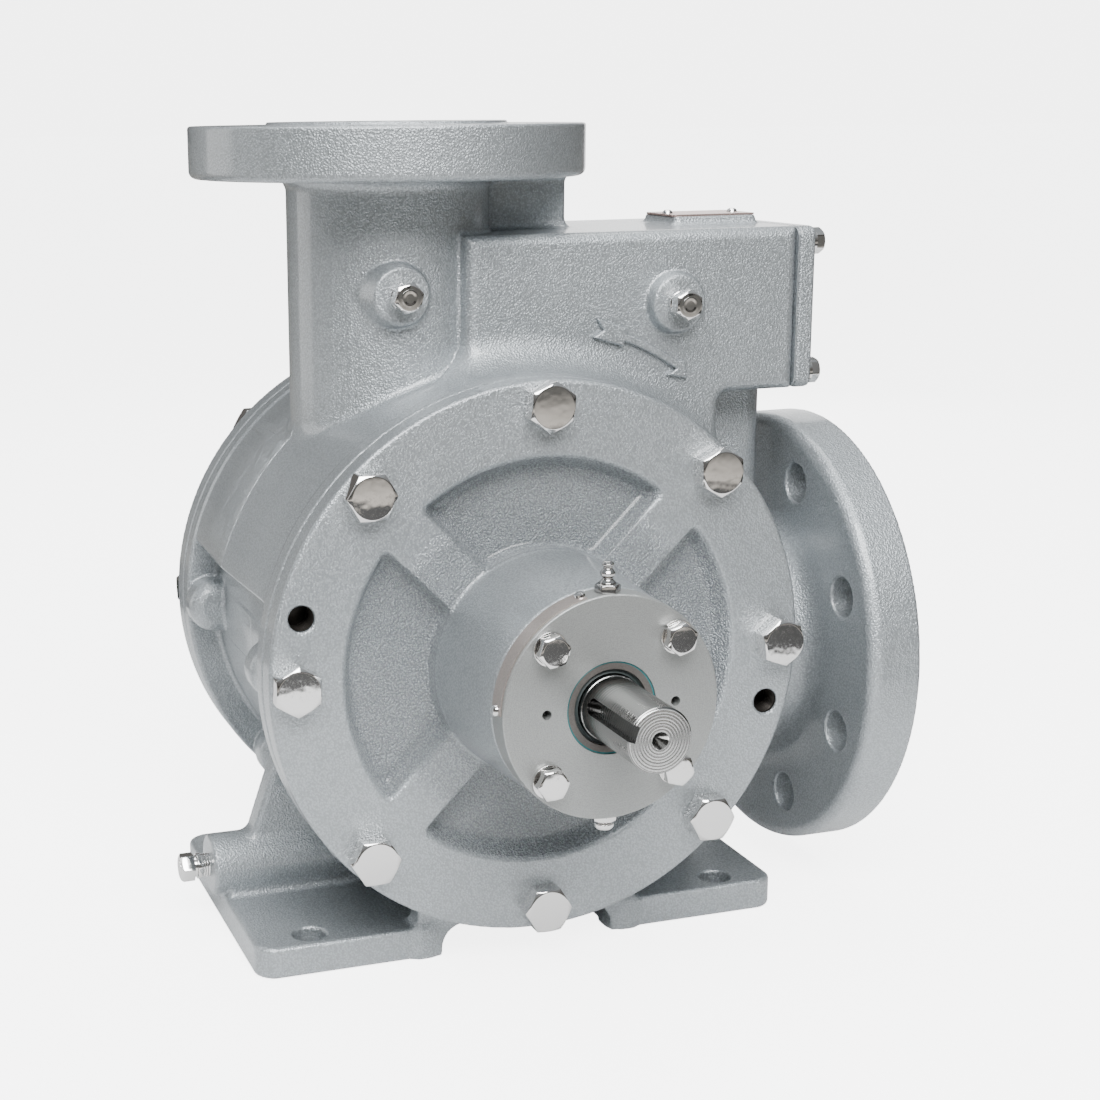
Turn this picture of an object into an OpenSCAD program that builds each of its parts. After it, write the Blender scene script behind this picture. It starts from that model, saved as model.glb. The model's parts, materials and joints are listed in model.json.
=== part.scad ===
// Sliding vane pump with a cast case, two bolted heads and an internal relief valve.
// Base plane at z = 0, shaft axis along Y above the origin, drive end towards -Y.

/* [Case] */
// Height of the shaft axis above the base
shaft_height = 164; // [158:1:180]
// Length of the case between its two head joints
case_length = 186; // [176:2:206]
// Radius of the machined bore of the case
case_bore_r = 112; // [109:0.5:114]
// Outside radius of the plain barrel between the end flanges
barrel_r = 128.5; // [126:0.5:132]
// Outside radius of the volute at its parting line
volute_r = 149; // [147:0.5:152]
// Thickness of each end flange of the case
end_flange_t = 12; // [10:0.5:16]
// Radius of the cast bosses behind the head bolts
bolt_boss_r = 15.5; // [13:0.5:17]
// Length of the bosses behind the end flanges
bolt_boss_l = 20; // [14:1:26]

/* [Heads] */
// Outside radius of the heads and of the end flanges
head_r = 146; // [144:0.5:152]
// Thickness of the head's bolted rim
head_rim_t = 15; // [12:0.5:18]
// Radius of the circle of head bolts
head_bolt_circle_r = 133.35; // [131:0.5:136]
// Number of bolts in each head
head_bolts = 8; // [6:1:12]
// Diameter of the head bolts
head_bolt_d = 15.875; // [12:0.5:16]
// Width across flats of the head bolts
head_bolt_af = 23; // [18:0.5:24]
// Height of the head of a head bolt
head_bolt_h = 10.5; // [8:0.5:12]
// Radius of the two jack screw holes in each head rim
jack_hole_r = 6.6; // [5:0.2:8]
// Radius of the outer edge of the cast pockets
pocket_r = 107; // [100:1:112]
// Depth of the cast pockets below the head's face
pocket_depth = 11; // [6:0.5:13]
// Width of the four diagonal ribs at the head's face
rib_w = 25; // [18:1:32]
// Length of the bearing hub in front of the head's face
hub_l = 69; // [64:1:80]
// Radius of the hub where it leaves the pockets
hub_base_r = 59.5; // [58:0.5:62]

/* [Caps] */
// Radius of the bearing caps
cap_r = 55.5; // [54:0.5:57]
// Thickness of the rim of a bearing cap
cap_t = 14.5; // [13:0.5:18]
// Radius of the circle of cap bolts
cap_bolt_circle_r = 46; // [45:0.25:47]
// Diameter of the cap bolts
cap_bolt_d = 9.525; // [8:0.25:10]
// Width across flats of the cap bolts
cap_bolt_af = 14.3; // [12:0.1:15]
// Height of the head of a cap bolt
cap_bolt_h = 6.2; // [5:0.1:8]
// Thickness of the lock washers
washer_t = 2.4; // [1.5:0.1:3]
// Radius of the circle of the two small cap holes
puller_circle_r = 33.3; // [31:0.1:34]
// Radius of the small cap holes
puller_hole_r = 2.4; // [1.5:0.1:3]

/* [Shaft] */
// Radius of the shaft's drive end
shaft_end_r = 15.875; // [14:0.125:16.5]
// Length of shaft that stands out of the front cap
shaft_out = 52.5; // [40:0.5:70]
// Radius of the shaft at the bearings
bearing_seat_r = 17.5; // [17:0.1:18]
// Radius of the shaft under the mechanical seals
seal_seat_r = 20; // [19:0.25:21]
// Radius of the shaft in the rotor
rotor_seat_r = 24; // [23:0.25:26]
// Width of the coupling key's slot
keyway_w = 7.94; // [6:0.1:10]
// Depth of the coupling key's slot
keyway_depth = 4; // [3:0.1:5]
// Length of the coupling key's slot
keyway_l = 43; // [30:1:50]
// Angle of the slot round the shaft
keyway_angle = 161; // [0:1:359]

/* [Pumping chamber] */
// Width of the rotor, the vanes and the cam
cam_w = 100; // [90:2:108]
// Radius of the cam's bore
cam_r = 96; // [94:0.5:98]
// Offset of the cam's bore from the shaft axis
cam_offset = 8; // [6:0.5:9]
// Direction of that offset, from +X towards +Z
cam_angle = 230; // [220:1:240]
// Thickness of the side plates
side_plate_t = 12; // [9:0.5:14]
// Thickness of a vane
vane_t = 12; // [9:0.5:14]
// Height of a vane from its tip to its foot
vane_h = 34; // [30:1:36]
// Running gap between the rotor and what surrounds it
run_gap = 0.3; // [0.15:0.05:0.5]
// Sliding gap on each side of a vane
vane_gap = 0.1; // [0.05:0.01:0.3]

/* [Bearings and seals] */
// Outside radius of the roller bearings
bearing_r = 40; // [38:0.5:41]
// Width of the roller bearings
bearing_w = 21; // [19:0.5:23]
// Number of rollers in a bearing
rollers = 12; // [9:1:13]
// Radius of a roller
roller_r = 5.85; // [5:0.05:5.9]
// Outside radius of the seal seats
seal_r = 32; // [30:0.5:33]
// Outside radius of the lip seal in the front cap
lip_seal_r = 23; // [22:0.25:25]
// Width of the lip seal
lip_seal_w = 8; // [6:0.5:9]

/* [Outlet] */
// Height of the outlet's raised face above the base
outlet_face_z = 436; // [428:1:450]
// Distance of the outlet's axis from the shaft's
outlet_x = -47.5; // [-52:0.5:-42]
// Radius of the outlet flange
outlet_flange_r = 104.8; // [100:0.5:110]
// Thickness of the outlet flange without its raised face
outlet_flange_t = 27; // [24:0.5:30]
// Radius of the outlet's raised face
outlet_raised_r = 63.5; // [58:0.5:66]
// Radius of the outlet's bolt circle
outlet_bolt_circle_r = 84.15; // [80:0.5:88]
// Radius of the outlet neck
outlet_neck_r = 54; // [50:0.5:56]
// Radius of the outlet's bore
outlet_bore_r = 38; // [34:1:42]

/* [Inlet] */
// Distance of the inlet's raised face from the shaft axis
inlet_face_x = 213.6; // [206:1:226]
// Height of the inlet's axis below the shaft axis
inlet_drop = 23.6; // [18:0.5:28]
// Radius of the inlet flange
inlet_flange_r = 127; // [122:0.5:132]
// Thickness of the inlet flange without its raised face
inlet_flange_t = 30.2; // [26:0.5:32]
// Radius of the inlet's raised face
inlet_raised_r = 78.6; // [74:0.5:82]
// Radius of the inlet's bolt circle
inlet_bolt_circle_r = 100.1; // [96:0.5:104]
// Radius of the inlet neck
inlet_neck_r = 61; // [59:0.5:64]
// Radius of the inlet's bore
inlet_bore_r = 51; // [46:1:53]
// Radius of the bolt holes in both flanges
pipe_bolt_r = 11.1; // [9:0.1:12]

/* [Valve chest] */
// Height of the middle of the valve chest above the base
chest_z = 334.3; // [328:0.5:342]
// Depth of the valve chest along the shaft
chest_w = 116; // [104:2:124]
// Height of the valve chest
chest_h = 88; // [80:1:92]
// Distance of the chest's machined end from the shaft axis
chest_end_x = 167.5; // [162:0.5:174]
// Thickness of the chest cover
cover_t = 9.6; // [7:0.2:12]
// Thickness of the cover gasket
gasket_t = 0.8; // [0.5:0.1:1.5]
// Radius of the spring chamber
chamber_r = 34; // [31:0.5:35]
// Radius of the hole in the valve seat
valve_port_r = 22; // [18:0.5:24]
// Distance of the valve seat from the shaft axis
valve_seat_x = 24; // [20:0.5:28]
// Lift of the valve poppet
valve_lift = 10; // [6:0.5:12]
// Diameter of the valve spring's wire
spring_wire_d = 5.5; // [4:0.25:6.5]

/* [Feet] */
// Distance between the foot holes across the shaft
foot_span_x = 238; // [230:1:250]
// Distance between the foot holes along the shaft
foot_span_y = 149; // [140:1:156]
// Radius of the foot holes
foot_hole_r = 8.75; // [7:0.25:10]
// Thickness of the foot plates
foot_t = 17.4; // [14:0.2:22]
// Distance from a foot hole to the outer end of its foot
foot_margin_x = 31.5; // [28:0.5:40]
// Distance from a foot hole to the front or rear edge of its foot
foot_margin_y = 14; // [12:0.5:18]
// Width of the open arch between the feet
arch_w = 98; // [80:1:110]

/* [Hidden] */
$fn = 96;

// Fits between pieces that don't move on each other, and small standard gaps
slip = 0.05;
seat_gap = 0.1;
over = 1;

// Distances from the case's middle plane towards either end
half = case_length / 2;
head_face = half + head_rim_t;
hub_end = head_face + hub_l;
cap_face = hub_end + cap_t;
shaft_tip = cap_face + shaft_out;
cam_half = cam_w / 2;
plate_end = cam_half + side_plate_t;
flange_back = half - end_flange_t;

// Bearing and seal stations along the shaft, counted the same way
cap_spigot_l = 4;
bearing_outer_face = hub_end - cap_spigot_l;
bearing_inner_face = bearing_outer_face - bearing_w;
land_t = 5;
land_r = 25;
seat_shoulder = bearing_inner_face - land_t;
seal_seat_t = 8;
seal_face = seat_shoulder - seal_seat_t;
seal_ring_l = 40;
seal_ring_back = seal_face - seat_gap - seal_ring_l;
chamber_bore_r = seal_r + 4;
race_in_r = 23;
race_out_r = 35;
pitch_r = (race_in_r + race_out_r) / 2;
race_lip = 3;
roller_gap = 0.4;
cage_half_t = 2;
cage_inset = 1.2;
lock_nut_l = 6.8;
lock_nut_r = 24.5;
cap_cavity_r = 28;
cap_cavity_end = hub_end + 4.3;
rear_shaft_end = bearing_outer_face + lock_nut_l + 1;
seal_track_r = shaft_end_r + 0.4;
shaft_pass_r = shaft_end_r + 2;
centre_r = 4.2;
centre_depth = 7;

// Grease and relief fittings, half way along a cap's rim
fitting_z = hub_end + cap_t / 2;
fitting_feed_z = fitting_z - 3.2;
fitting_feed_r = 1.5;
fitting_thread_r = 3.2;
fitting_reach = 8;
grease_fitting_h = 15;
relief_fitting_h = 8;
fitting_angles = [90, 270];

// Cast pockets of the heads: floor, lean of the walls and fillet at their foot
pocket_floor = head_face - pocket_depth;
pocket_slope = 5;
wall_turn = 75;
pocket_root_r = 4;

// Groove of a head's O-ring: middle, width and depth
o_ring_y = half - 6.7;
o_ring_w = 4.6;
o_ring_groove = 3.2;

// Bolts of the heads: length of thread below the joint and clearance
head_bolt_reach = 24;
head_bolt_hole_r = head_bolt_d / 2 + 0.5;
jack_angles = [165, 345];
bolt_hex_turn = 12;
cap_bolt_reach = 20;

// Rotor
rotor_r = cam_r - cam_offset - run_gap;
vanes = 6;
vane_stroke = 2 * cam_offset;
slot_foot = rotor_r - vane_h - vane_stroke - 1;
vane_tip_r = 14;
groove_turn = 70;
rotor_key_w = 9.5;
rotor_key_d = 4.5;
rotor_key_angles = [30, 210];
rotor_key_inset = 4;

// Pins at both ends of the liner
pin_r = 3;
pin_reach = 10;
pin_orbit = case_bore_r - 8;

// Ports through the liner, as start and end angles from +X towards +Z
outlet_port = [78, 146];
inlet_port = [-52, 22];
port_w = 22;
port_pitch = 31;

// Galleries in the case behind those ports: depth of each, and half width
outlet_gallery = 20;
inlet_gallery = 8;
gallery_half = cam_half - 6;

// Volute: half width of the flat along its parting line, and where it starts and ends
volute_flat = 5;
volute_start = 10;
volute_end = 165.5;

// Outlet and inlet stations
raised_h = 1.6;
outlet_top = outlet_face_z - raised_h;
outlet_under = outlet_top - outlet_flange_t;
inlet_z = shaft_height - inlet_drop;
inlet_rim_x = inlet_face_x - raised_h;
inlet_back_x = inlet_rim_x - inlet_flange_t;
web_l = 99.5;
neck_fillet = 17;
pipe_bolt_angles = [22.5 : 45 : 360];
outlet_fillet = 7;
edge_r = 3.5;

// Valve chest
chest_corner = 6;
chest_start_x = outlet_x + 23.5;
chest_body_foot_z = shaft_height + barrel_r * 0.6;
chest_step_x = 122.5;
cover_bolt_y = chest_w / 2 - 9;
cover_bolt_z = chest_h / 2 - 8.6;
cover_bolt_d = 7.94;
cover_bolt_af = 12.7;
cover_bolt_h = 5.5;
cover_bolt_reach = 18;
cover_washer_t = 1.9;
poppet_r = valve_port_r + 7;
poppet_t = 6;
stem_r = 8;
guide_flange_t = 4;
stem_room = 20;
guide_overlap = 12;
spring_r = 19;
spring_turns = 8;
spring_rings = 160;
wire_sides = 8;
chest_inside_end = chest_end_x + gasket_t;
spring_start = valve_seat_x + seat_gap + poppet_t;
spring_end = chest_inside_end - guide_flange_t;
stem_end = spring_end - valve_lift - stem_room;
guide_front = stem_end - guide_overlap;
// Duct that takes the valve's flow down to the inlet
duct_end_x = chest_end_x - 2;
duct_l = 56;
duct_w = 60;
duct_corner = 12;
duct_bore_x = 144;
duct_bore_r = 17;

// Raised arrow that shows the direction of rotation
arrow_r = 172;
arrow_h = 1.5;
arrow_stem = 4.2;
arrow_half = 6;
arrow_neck = 56.9;
arrow_tail = 68;

// Gauge ports and their plugs
plug_af = 14.3;
plug_thread_r = 6.6;
plug_reach = 10;
neck_gauge = [outlet_x - 10.5, chest_z + 13.2];
chest_gauge = [chest_end_x - 73, chest_z + 5.4];
gauge_boss_r = 15;
gauge_boss_root = 14;
gauge_boss_root_r = 19.5;
neck_boss_y = outlet_neck_r + 7;
chest_boss_y = chest_w / 2 + 7.5;

// Feet and drain boss
foot_corner = 12;
foot_length = foot_span_x + 2 * foot_margin_x;
foot_depth = foot_span_y + 2 * foot_margin_y;
arch_round = 12;
arch_foot = 4;
drain_z = 33;
drain_boss_r = 17;
drain_web = 12.5;
drain_face_x = -156;
leg_t = 16;
leg_foot_x = 134;
leg_top_x = 104;
leg_top_z = 132;

// Name plate on the chest, and the bare strip on the front cap's rim
pad_x = 137;
pad_l = 48;
pad_w = 38;
pad_h = 4.6;
plate_t = 1;
plate_screw_r = 1.4;
plate_screw_x = pad_l / 2 - 4;
strip_t = 0.7;
strip_w = 10.5;
strip_angles = [103, 179];
strip_screw_angles = [104.7, 177.2];
strip_screw_r = 1.2;

// Stands children up on the shaft axis with their z running towards the drive end
module on_shaft() {
    translate([0, 0, shaft_height]) rotate([90, 0, 0]) children();
}

// The same for the rear end, as its mirror image
module on_shaft_rear() {
    mirror([0, 1, 0]) on_shaft() children();
}

module both_ends() {
    on_shaft() children();
    on_shaft_rear() children();
}

// A ring or disc round the local z axis, from z0 to z1
module ring(r_out, r_in, z0, z1) {
    translate([0, 0, z0]) difference() {
        cylinder(h = z1 - z0, r = r_out);
        if (r_in > 0)
            translate([0, 0, -over]) cylinder(h = z1 - z0 + 2 * over, r = r_in);
    }
}

// A disc with both rims rounded, from z0 to z1
module soft_disc(r, z0, z1, e) {
    rotate_extrude() union() {
        translate([0, z0]) square([r - e, z1 - z0]);
        translate([0, z0 + e]) square([r, z1 - z0 - 2 * e]);
        translate([r - e, z0 + e]) circle(e, $fn = 32);
        translate([r - e, z1 - e]) circle(e, $fn = 32);
    }
}

// A concave fillet where a neck of radius r meets a wall at z0, on the low side of it
module neck_root(r, z0, f) {
    rotate_extrude() difference() {
        translate([r - over, z0 - f]) square([f + over, f + over / 2]);
        translate([r + f, z0 - f]) circle(f, $fn = 64);
    }
}

// A sector of a ring between two angles
module ring_sector(r_out, r_in, z0, z1, a0, a1) {
    rotate([0, 0, a0]) rotate_extrude(angle = a1 - a0)
        translate([r_in, z0]) square([r_out - r_in, z1 - z0]);
}

// A rectangle with four round corners, centred
module round_rect(w, h, r) {
    union() {
        square([w - 2 * r, h], center = true);
        square([w, h - 2 * r], center = true);
        for (x = [-1, 1], y = [-1, 1])
            translate([x * (w / 2 - r), y * (h / 2 - r)]) circle(r, $fn = 48);
    }
}

// A hexagon head from z = 0 upwards with its top corners turned off
module hex_head(af, h) {
    intersection() {
        cylinder(h = h, r = af / sqrt(3), $fn = 6);
        cylinder(h = h, r1 = af / sqrt(3) + 0.58 * h * 1.7, r2 = af / 2 * 0.97, $fn = 64);
    }
}

// A bolt with its head's underside at z = 0 and its shank reaching down
module hex_bolt(d, af, h, reach) {
    hex_head(af, h);
    translate([0, 0, -reach]) cylinder(h = reach + over / 2, r = d / 2, $fn = 32);
}

module each_on_circle(r, angles) {
    for (a = angles) rotate([0, 0, a]) translate([r, 0, 0]) children();
}

function head_angles() = [for (i = [0 : head_bolts - 1]) i * 360 / head_bolts];
cap_angles = [45, 135, 225, 315];

// Head bolts outside the volute, which have a boss of their own
function boss_angles() = [
    for (a = head_angles()) if (a < volute_start || a > volute_end) a
];

// Case

module case_barrel() {
    on_shaft() union() {
        ring(barrel_r, 0, -flange_back - over, flange_back + over);
        for (s = [-1, 1]) mirror([0, 0, s < 0 ? 1 : 0]) {
            soft_disc(head_r, flange_back, half, 1.5);
            each_on_circle(head_bolt_circle_r, boss_angles()) bolt_boss();
        }
    }
}

// A boss behind one head bolt, with a bevelled end
module bolt_boss() {
    tip = bolt_boss_r * 0.4;
    rotate_extrude($fn = 48) polygon([
        [0, flange_back - bolt_boss_l], [bolt_boss_r - tip, flange_back - bolt_boss_l],
        [bolt_boss_r, flange_back - bolt_boss_l + tip], [bolt_boss_r, flange_back + over],
        [0, flange_back + over]
    ]);
}

// Upper left part of the case, filled out to the flanges round the outlet passage
module case_volute() {
    low_r = head_r - 1.2;
    end = flange_back + over;
    on_shaft() rotate([0, 0, volute_start]) rotate_extrude(angle = volute_end - volute_start)
        polygon([
            [case_bore_r / 2, -end], [low_r, -end], [volute_r, -volute_flat],
            [volute_r, volute_flat], [low_r, end], [case_bore_r / 2, end]
        ]);
}

module case_outlet() {
    translate([outlet_x, 0, 0]) {
        ring(outlet_neck_r, 0, shaft_height + case_bore_r * 0.8, outlet_under + over);
        soft_disc(outlet_flange_r, outlet_under, outlet_top, edge_r);
        neck_root(outlet_neck_r, outlet_under, outlet_fillet);
        ring(outlet_raised_r, 0, outlet_top - over, outlet_face_z);
    }
    // Web between the flange and the chest behind the neck
    translate([outlet_x, -leg_t / 2, chest_z])
        cube([web_l, leg_t, outlet_under - chest_z + over]);
}

module case_inlet() {
    translate([0, 0, inlet_z]) rotate([0, 90, 0]) {
        ring(inlet_neck_r, 0, case_bore_r * 0.75, inlet_back_x + over);
        soft_disc(inlet_flange_r, inlet_back_x, inlet_rim_x, edge_r);
        neck_root(inlet_neck_r, inlet_back_x, neck_fillet);
        ring(inlet_raised_r, 0, inlet_rim_x - over, inlet_face_x);
    }
}

module chest_block(x0, x1) {
    translate([x0, 0, chest_z]) rotate([90, 0, 90])
        linear_extrude(x1 - x0) round_rect(chest_w, chest_h, chest_corner);
}

module case_chest() {
    chest_block(chest_start_x, chest_end_x);
    // Body of the chest down to the barrel
    translate([chest_start_x, -chest_w / 2, chest_body_foot_z])
        cube([chest_step_x - chest_start_x, chest_w, chest_z - chest_body_foot_z]);
    // Duct from the chest down to the inlet
    translate([duct_end_x - duct_l / 2, 0, inlet_z])
        linear_extrude(chest_z - inlet_z) round_rect(duct_l, duct_w, duct_corner);
    // Pad of the name plate
    translate([pad_x - pad_l / 2, -pad_w / 2, chest_z])
        cube([pad_l, pad_w, chest_h / 2 + pad_h]);
    gauge_boss(neck_gauge, outlet_neck_r, neck_boss_y);
    gauge_boss(chest_gauge, chest_w / 2, chest_boss_y);
    rotation_arrow();
}

// Conical boss of a gauge port, from inside a wall at y0 out to its face at y1
module gauge_boss(at, y0, y1) {
    translate([at[0], gauge_boss_root - y0, at[1]]) rotate([90, 0, 0])
        cylinder(h = y1 - y0 + gauge_boss_root, r1 = gauge_boss_root_r, r2 = gauge_boss_r);
}

// Curved arrow with a feathered tail, concentric with the shaft
module rotation_arrow() {
    on_shaft() translate([0, 0, chest_w / 2 - over]) linear_extrude(over + arrow_h) {
        intersection() {
            difference() {
                circle(arrow_r + arrow_stem / 2);
                circle(arrow_r - arrow_stem / 2);
            }
            polygon([[0, 0], 2 * arrow_r * [cos(arrow_neck), sin(arrow_neck)],
                2 * arrow_r * [cos(arrow_tail + 1), sin(arrow_tail + 1)]]);
        }
        polygon([
            arrow_point(arrow_neck, -arrow_half), arrow_point(arrow_neck - 1.2, arrow_half - 1),
            arrow_point(arrow_neck - 3.7, -arrow_half / 2)
        ]);
        polygon([
            arrow_point(arrow_tail, -arrow_half + 1), arrow_point(arrow_tail, arrow_half),
            arrow_point(arrow_tail + 6, arrow_half - 1), arrow_point(arrow_tail + 5, -1),
            arrow_point(arrow_tail + 6, -arrow_half)
        ]);
    }
}

function arrow_point(a, dr) = (arrow_r + dr) * [cos(a), sin(a)];

module foot_plate(s) {
    w = (foot_length - arch_w) / 2;
    translate([s * (arch_w + w) / 2, 0, 0])
        linear_extrude(foot_t) round_rect(w, foot_depth, foot_corner);
}

// Web that carries the barrel on one foot
module leg(s) {
    mirror([s < 0 ? 1 : 0, 0, 0]) translate([0, leg_t / 2, 0]) rotate([90, 0, 0])
        linear_extrude(leg_t) polygon([
            [arch_w / 2 + 8, foot_t / 2], [leg_foot_x, foot_t / 2], [leg_foot_x, drain_z + drain_boss_r],
            [leg_top_x, leg_top_z], [20, shaft_height - case_bore_r], [30, shaft_height - barrel_r]
        ]);
}

// Saddle that ties an end flange to both feet, open below as an arch
module saddle(s) {
    y0 = s * (flange_back + end_flange_t / 2 - leg_t / 2 + 1);
    translate([0, y0 + end_flange_t / 2, 0]) rotate([90, 0, 0]) linear_extrude(end_flange_t)
        difference() {
            translate([-arch_w / 2 - 14, 0])
                square([arch_w + 28, shaft_height - barrel_r + 4]);
            translate([-arch_w / 2, -over]) square([arch_w, over + arch_foot]);
            translate([-arch_w / 2 + arch_round, -over])
                square([arch_w - 2 * arch_round, over + shaft_height - head_r - 1]);
            for (x = [-1, 1]) translate([x * (arch_w / 2 - arch_round), arch_foot])
                circle(arch_round, $fn = 48);
        }
}

module drain_boss() {
    translate([drain_face_x, 0, drain_z]) rotate([0, 90, 0])
        cylinder(h = -drain_face_x - 40, r = drain_boss_r);
    translate([-foot_length / 2, -drain_web, foot_t / 2])
        cube([foot_length / 2 - 40, 2 * drain_web, drain_z - foot_t / 2]);
}

module case_passages() {
    on_shaft() {
        translate([0, 0, -half - over]) cylinder(h = case_length + 2 * over, r = case_bore_r);
        ring_sector(case_bore_r + outlet_gallery, case_bore_r - over, -gallery_half, gallery_half,
            outlet_port[0], outlet_port[1]);
        ring_sector(case_bore_r + inlet_gallery, case_bore_r - over, -gallery_half, gallery_half,
            inlet_port[0], inlet_port[1]);
        for (s = [0, 1]) mirror([0, 0, s])
            each_on_circle(head_bolt_circle_r, head_angles())
                translate([0, 0, half - head_bolt_reach - 2])
                    cylinder(h = head_bolt_reach + 2 + over, r = head_bolt_d / 2 + slip, $fn = 48);
    }
    translate([outlet_x, 0, shaft_height + case_bore_r * 0.7])
        cylinder(h = outlet_face_z, r = outlet_bore_r);
    translate([case_bore_r * 0.7, 0, inlet_z]) rotate([0, 90, 0])
        cylinder(h = inlet_face_x, r = inlet_bore_r);
    translate([outlet_x, 0, chest_z]) rotate([0, 90, 0])
        cylinder(h = valve_seat_x - outlet_x + over, r = valve_port_r);
    translate([valve_seat_x, 0, chest_z]) rotate([0, 90, 0])
        cylinder(h = chest_end_x, r = chamber_r);
    translate([duct_bore_x, 0, inlet_z]) cylinder(h = chest_z - inlet_z, r = duct_bore_r);
    for (g = [[neck_gauge, neck_boss_y], [chest_gauge, chest_boss_y]])
        translate([g[0][0], over - g[1], g[0][1]]) rotate([90, 0, 0]) translate([0, 0, -plug_reach - over])
            cylinder(h = plug_reach + 3 * over, r = plug_thread_r + slip, $fn = 48);
    translate([drain_face_x - over, 0, drain_z]) rotate([0, 90, 0])
        cylinder(h = 60, r = plug_thread_r + slip, $fn = 48);
}

module case_holes() {
    for (a = pipe_bolt_angles) {
        translate([outlet_x, 0, 0]) rotate([0, 0, a])
            translate([outlet_bolt_circle_r, 0, outlet_under - over])
                cylinder(h = outlet_flange_t + 2 * over, r = pipe_bolt_r, $fn = 48);
        translate([inlet_back_x - over, 0, inlet_z]) rotate([a, 0, 0])
            translate([0, 0, inlet_bolt_circle_r]) rotate([0, 90, 0])
                cylinder(h = inlet_flange_t + 2 * over, r = pipe_bolt_r, $fn = 48);
    }
    for (x = [-1, 1], y = [-1, 1])
        translate([x * foot_span_x / 2, y * foot_span_y / 2, -over])
            cylinder(h = foot_t + 2 * over, r = foot_hole_r, $fn = 48);
    for (y = [-1, 1], z = [-1, 1])
        translate([chest_end_x - cover_bolt_reach, y * cover_bolt_y, chest_z + z * cover_bolt_z])
            rotate([0, 90, 0])
                cylinder(h = cover_bolt_reach + over, r = cover_bolt_d / 2 + slip, $fn = 32);
    for (x = [-1, 1])
        translate([pad_x + x * plate_screw_x, 0, chest_z + chest_h / 2 + pad_h - 4])
            cylinder(h = 4 + over, r = plate_screw_r + slip, $fn = 32);
}

module case() {
    color([0.66, 0.68, 0.69]) difference() {
        union() {
            case_barrel();
            case_volute();
            case_outlet();
            case_inlet();
            case_chest();
            for (s = [-1, 1]) {
                foot_plate(s);
                leg(s);
                saddle(s);
            }
            drain_boss();
        }
        case_passages();
        case_holes();
    }
}

// Heads

// Points of a quarter round about a centre, from one angle to another
function arc(c, r, a0, a1) = [
    for (i = [0 : 4]) let (a = a0 + (a1 - a0) * i / 4) c + r * [cos(a), sin(a)]
];

// Section of the ring-shaped recess round the hub
module recess_section() {
    polygon(concat(
        [[pocket_r + 0.5 * pocket_slope, head_face + over], [hub_base_r - 1, head_face + over]],
        arc([hub_base_r + pocket_root_r, pocket_floor + pocket_root_r], pocket_root_r, 180, 270),
        arc([pocket_r - pocket_slope - pocket_root_r, pocket_floor + pocket_root_r],
            pocket_root_r, 270, 270 + wall_turn)
    ));
}

module head_body() {
    rotate_extrude() difference() {
        union() {
            translate([0, plate_end]) square([case_bore_r - slip, half - plate_end + over]);
            translate([0, half]) square([head_r, head_rim_t - 2]);
            translate([0, half]) square([head_r - 2, head_rim_t]);
            translate([head_r - 2, head_face - 2]) circle(2, $fn = 32);
            polygon([[0, pocket_floor - over], [hub_base_r + 0.5, pocket_floor - over],
                [hub_base_r - 0.5, head_face], [cap_r, hub_end], [0, hub_end]]);
        }
        recess_cut();
        // Groove of the head's O-ring
        translate([case_bore_r - o_ring_groove, o_ring_y - o_ring_w / 2])
            square([o_ring_groove + over, o_ring_w]);
    }
}

module recess_cut() {
    difference() {
        recess_section();
        polygon([[0, 0], [hub_base_r + 0.5, 0], [hub_base_r + 0.5, pocket_floor - over],
            [hub_base_r - 0.5, head_face], [hub_base_r - 1, head_face + 2 * over],
            [0, head_face + 2 * over]]);
    }
}

// One rib with sloping sides, lying along the local x axis
module rib() {
    foot = rib_w / 2 + pocket_slope * 0.8;
    translate([hub_base_r - 6, 0, 0]) rotate([90, 0, 90])
        linear_extrude(pocket_r - hub_base_r + 8)
            polygon([[-foot, pocket_floor - over], [foot, pocket_floor - over],
                [rib_w / 2, head_face], [-rib_w / 2, head_face]]);
}

module head_casting() {
    color([0.68, 0.70, 0.71]) difference() {
        union() {
            head_body();
            for (a = cap_angles) rotate([0, 0, a]) rib();
        }
        // Bearing, shaft land, seal seat and seal chamber, from the outside in
        translate([0, 0, bearing_inner_face]) cylinder(h = bearing_w + 4 + over, r = bearing_r + slip);
        translate([0, 0, seat_shoulder - over]) cylinder(h = land_t + 2 * over, r = land_r);
        translate([0, 0, seal_face]) cylinder(h = seal_seat_t, r = seal_r + slip);
        translate([0, 0, plate_end - over]) cylinder(h = seal_face - plate_end + over, r = chamber_bore_r);
        each_on_circle(head_bolt_circle_r, head_angles())
            translate([0, 0, half - over])
                cylinder(h = head_rim_t + 2 * over, r = head_bolt_hole_r, $fn = 48);
        each_on_circle(head_bolt_circle_r, jack_angles)
            translate([0, 0, half - over])
                cylinder(h = head_rim_t + 2 * over, r = jack_hole_r, $fn = 48);
        pin_hole();
        each_on_circle(cap_bolt_circle_r, cap_angles)
            translate([0, 0, hub_end - cap_bolt_reach - 2])
                cylinder(h = cap_bolt_reach + 2 + over, r = cap_bolt_d / 2 + slip, $fn = 32);
    }
}

module head_bolt_set() {
    color([0.80, 0.80, 0.78])
        each_on_circle(head_bolt_circle_r, head_angles())
            translate([0, 0, head_face]) rotate([0, 0, bolt_hex_turn])
                hex_bolt(head_bolt_d, head_bolt_af, head_bolt_h, head_rim_t + head_bolt_reach);
}

// Bearing caps

module cap_body() {
    union() {
        soft_disc(cap_r, hub_end, cap_face, 0.8);
        ring(bearing_r - slip, 0, bearing_outer_face, hub_end + over);
    }
}

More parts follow.
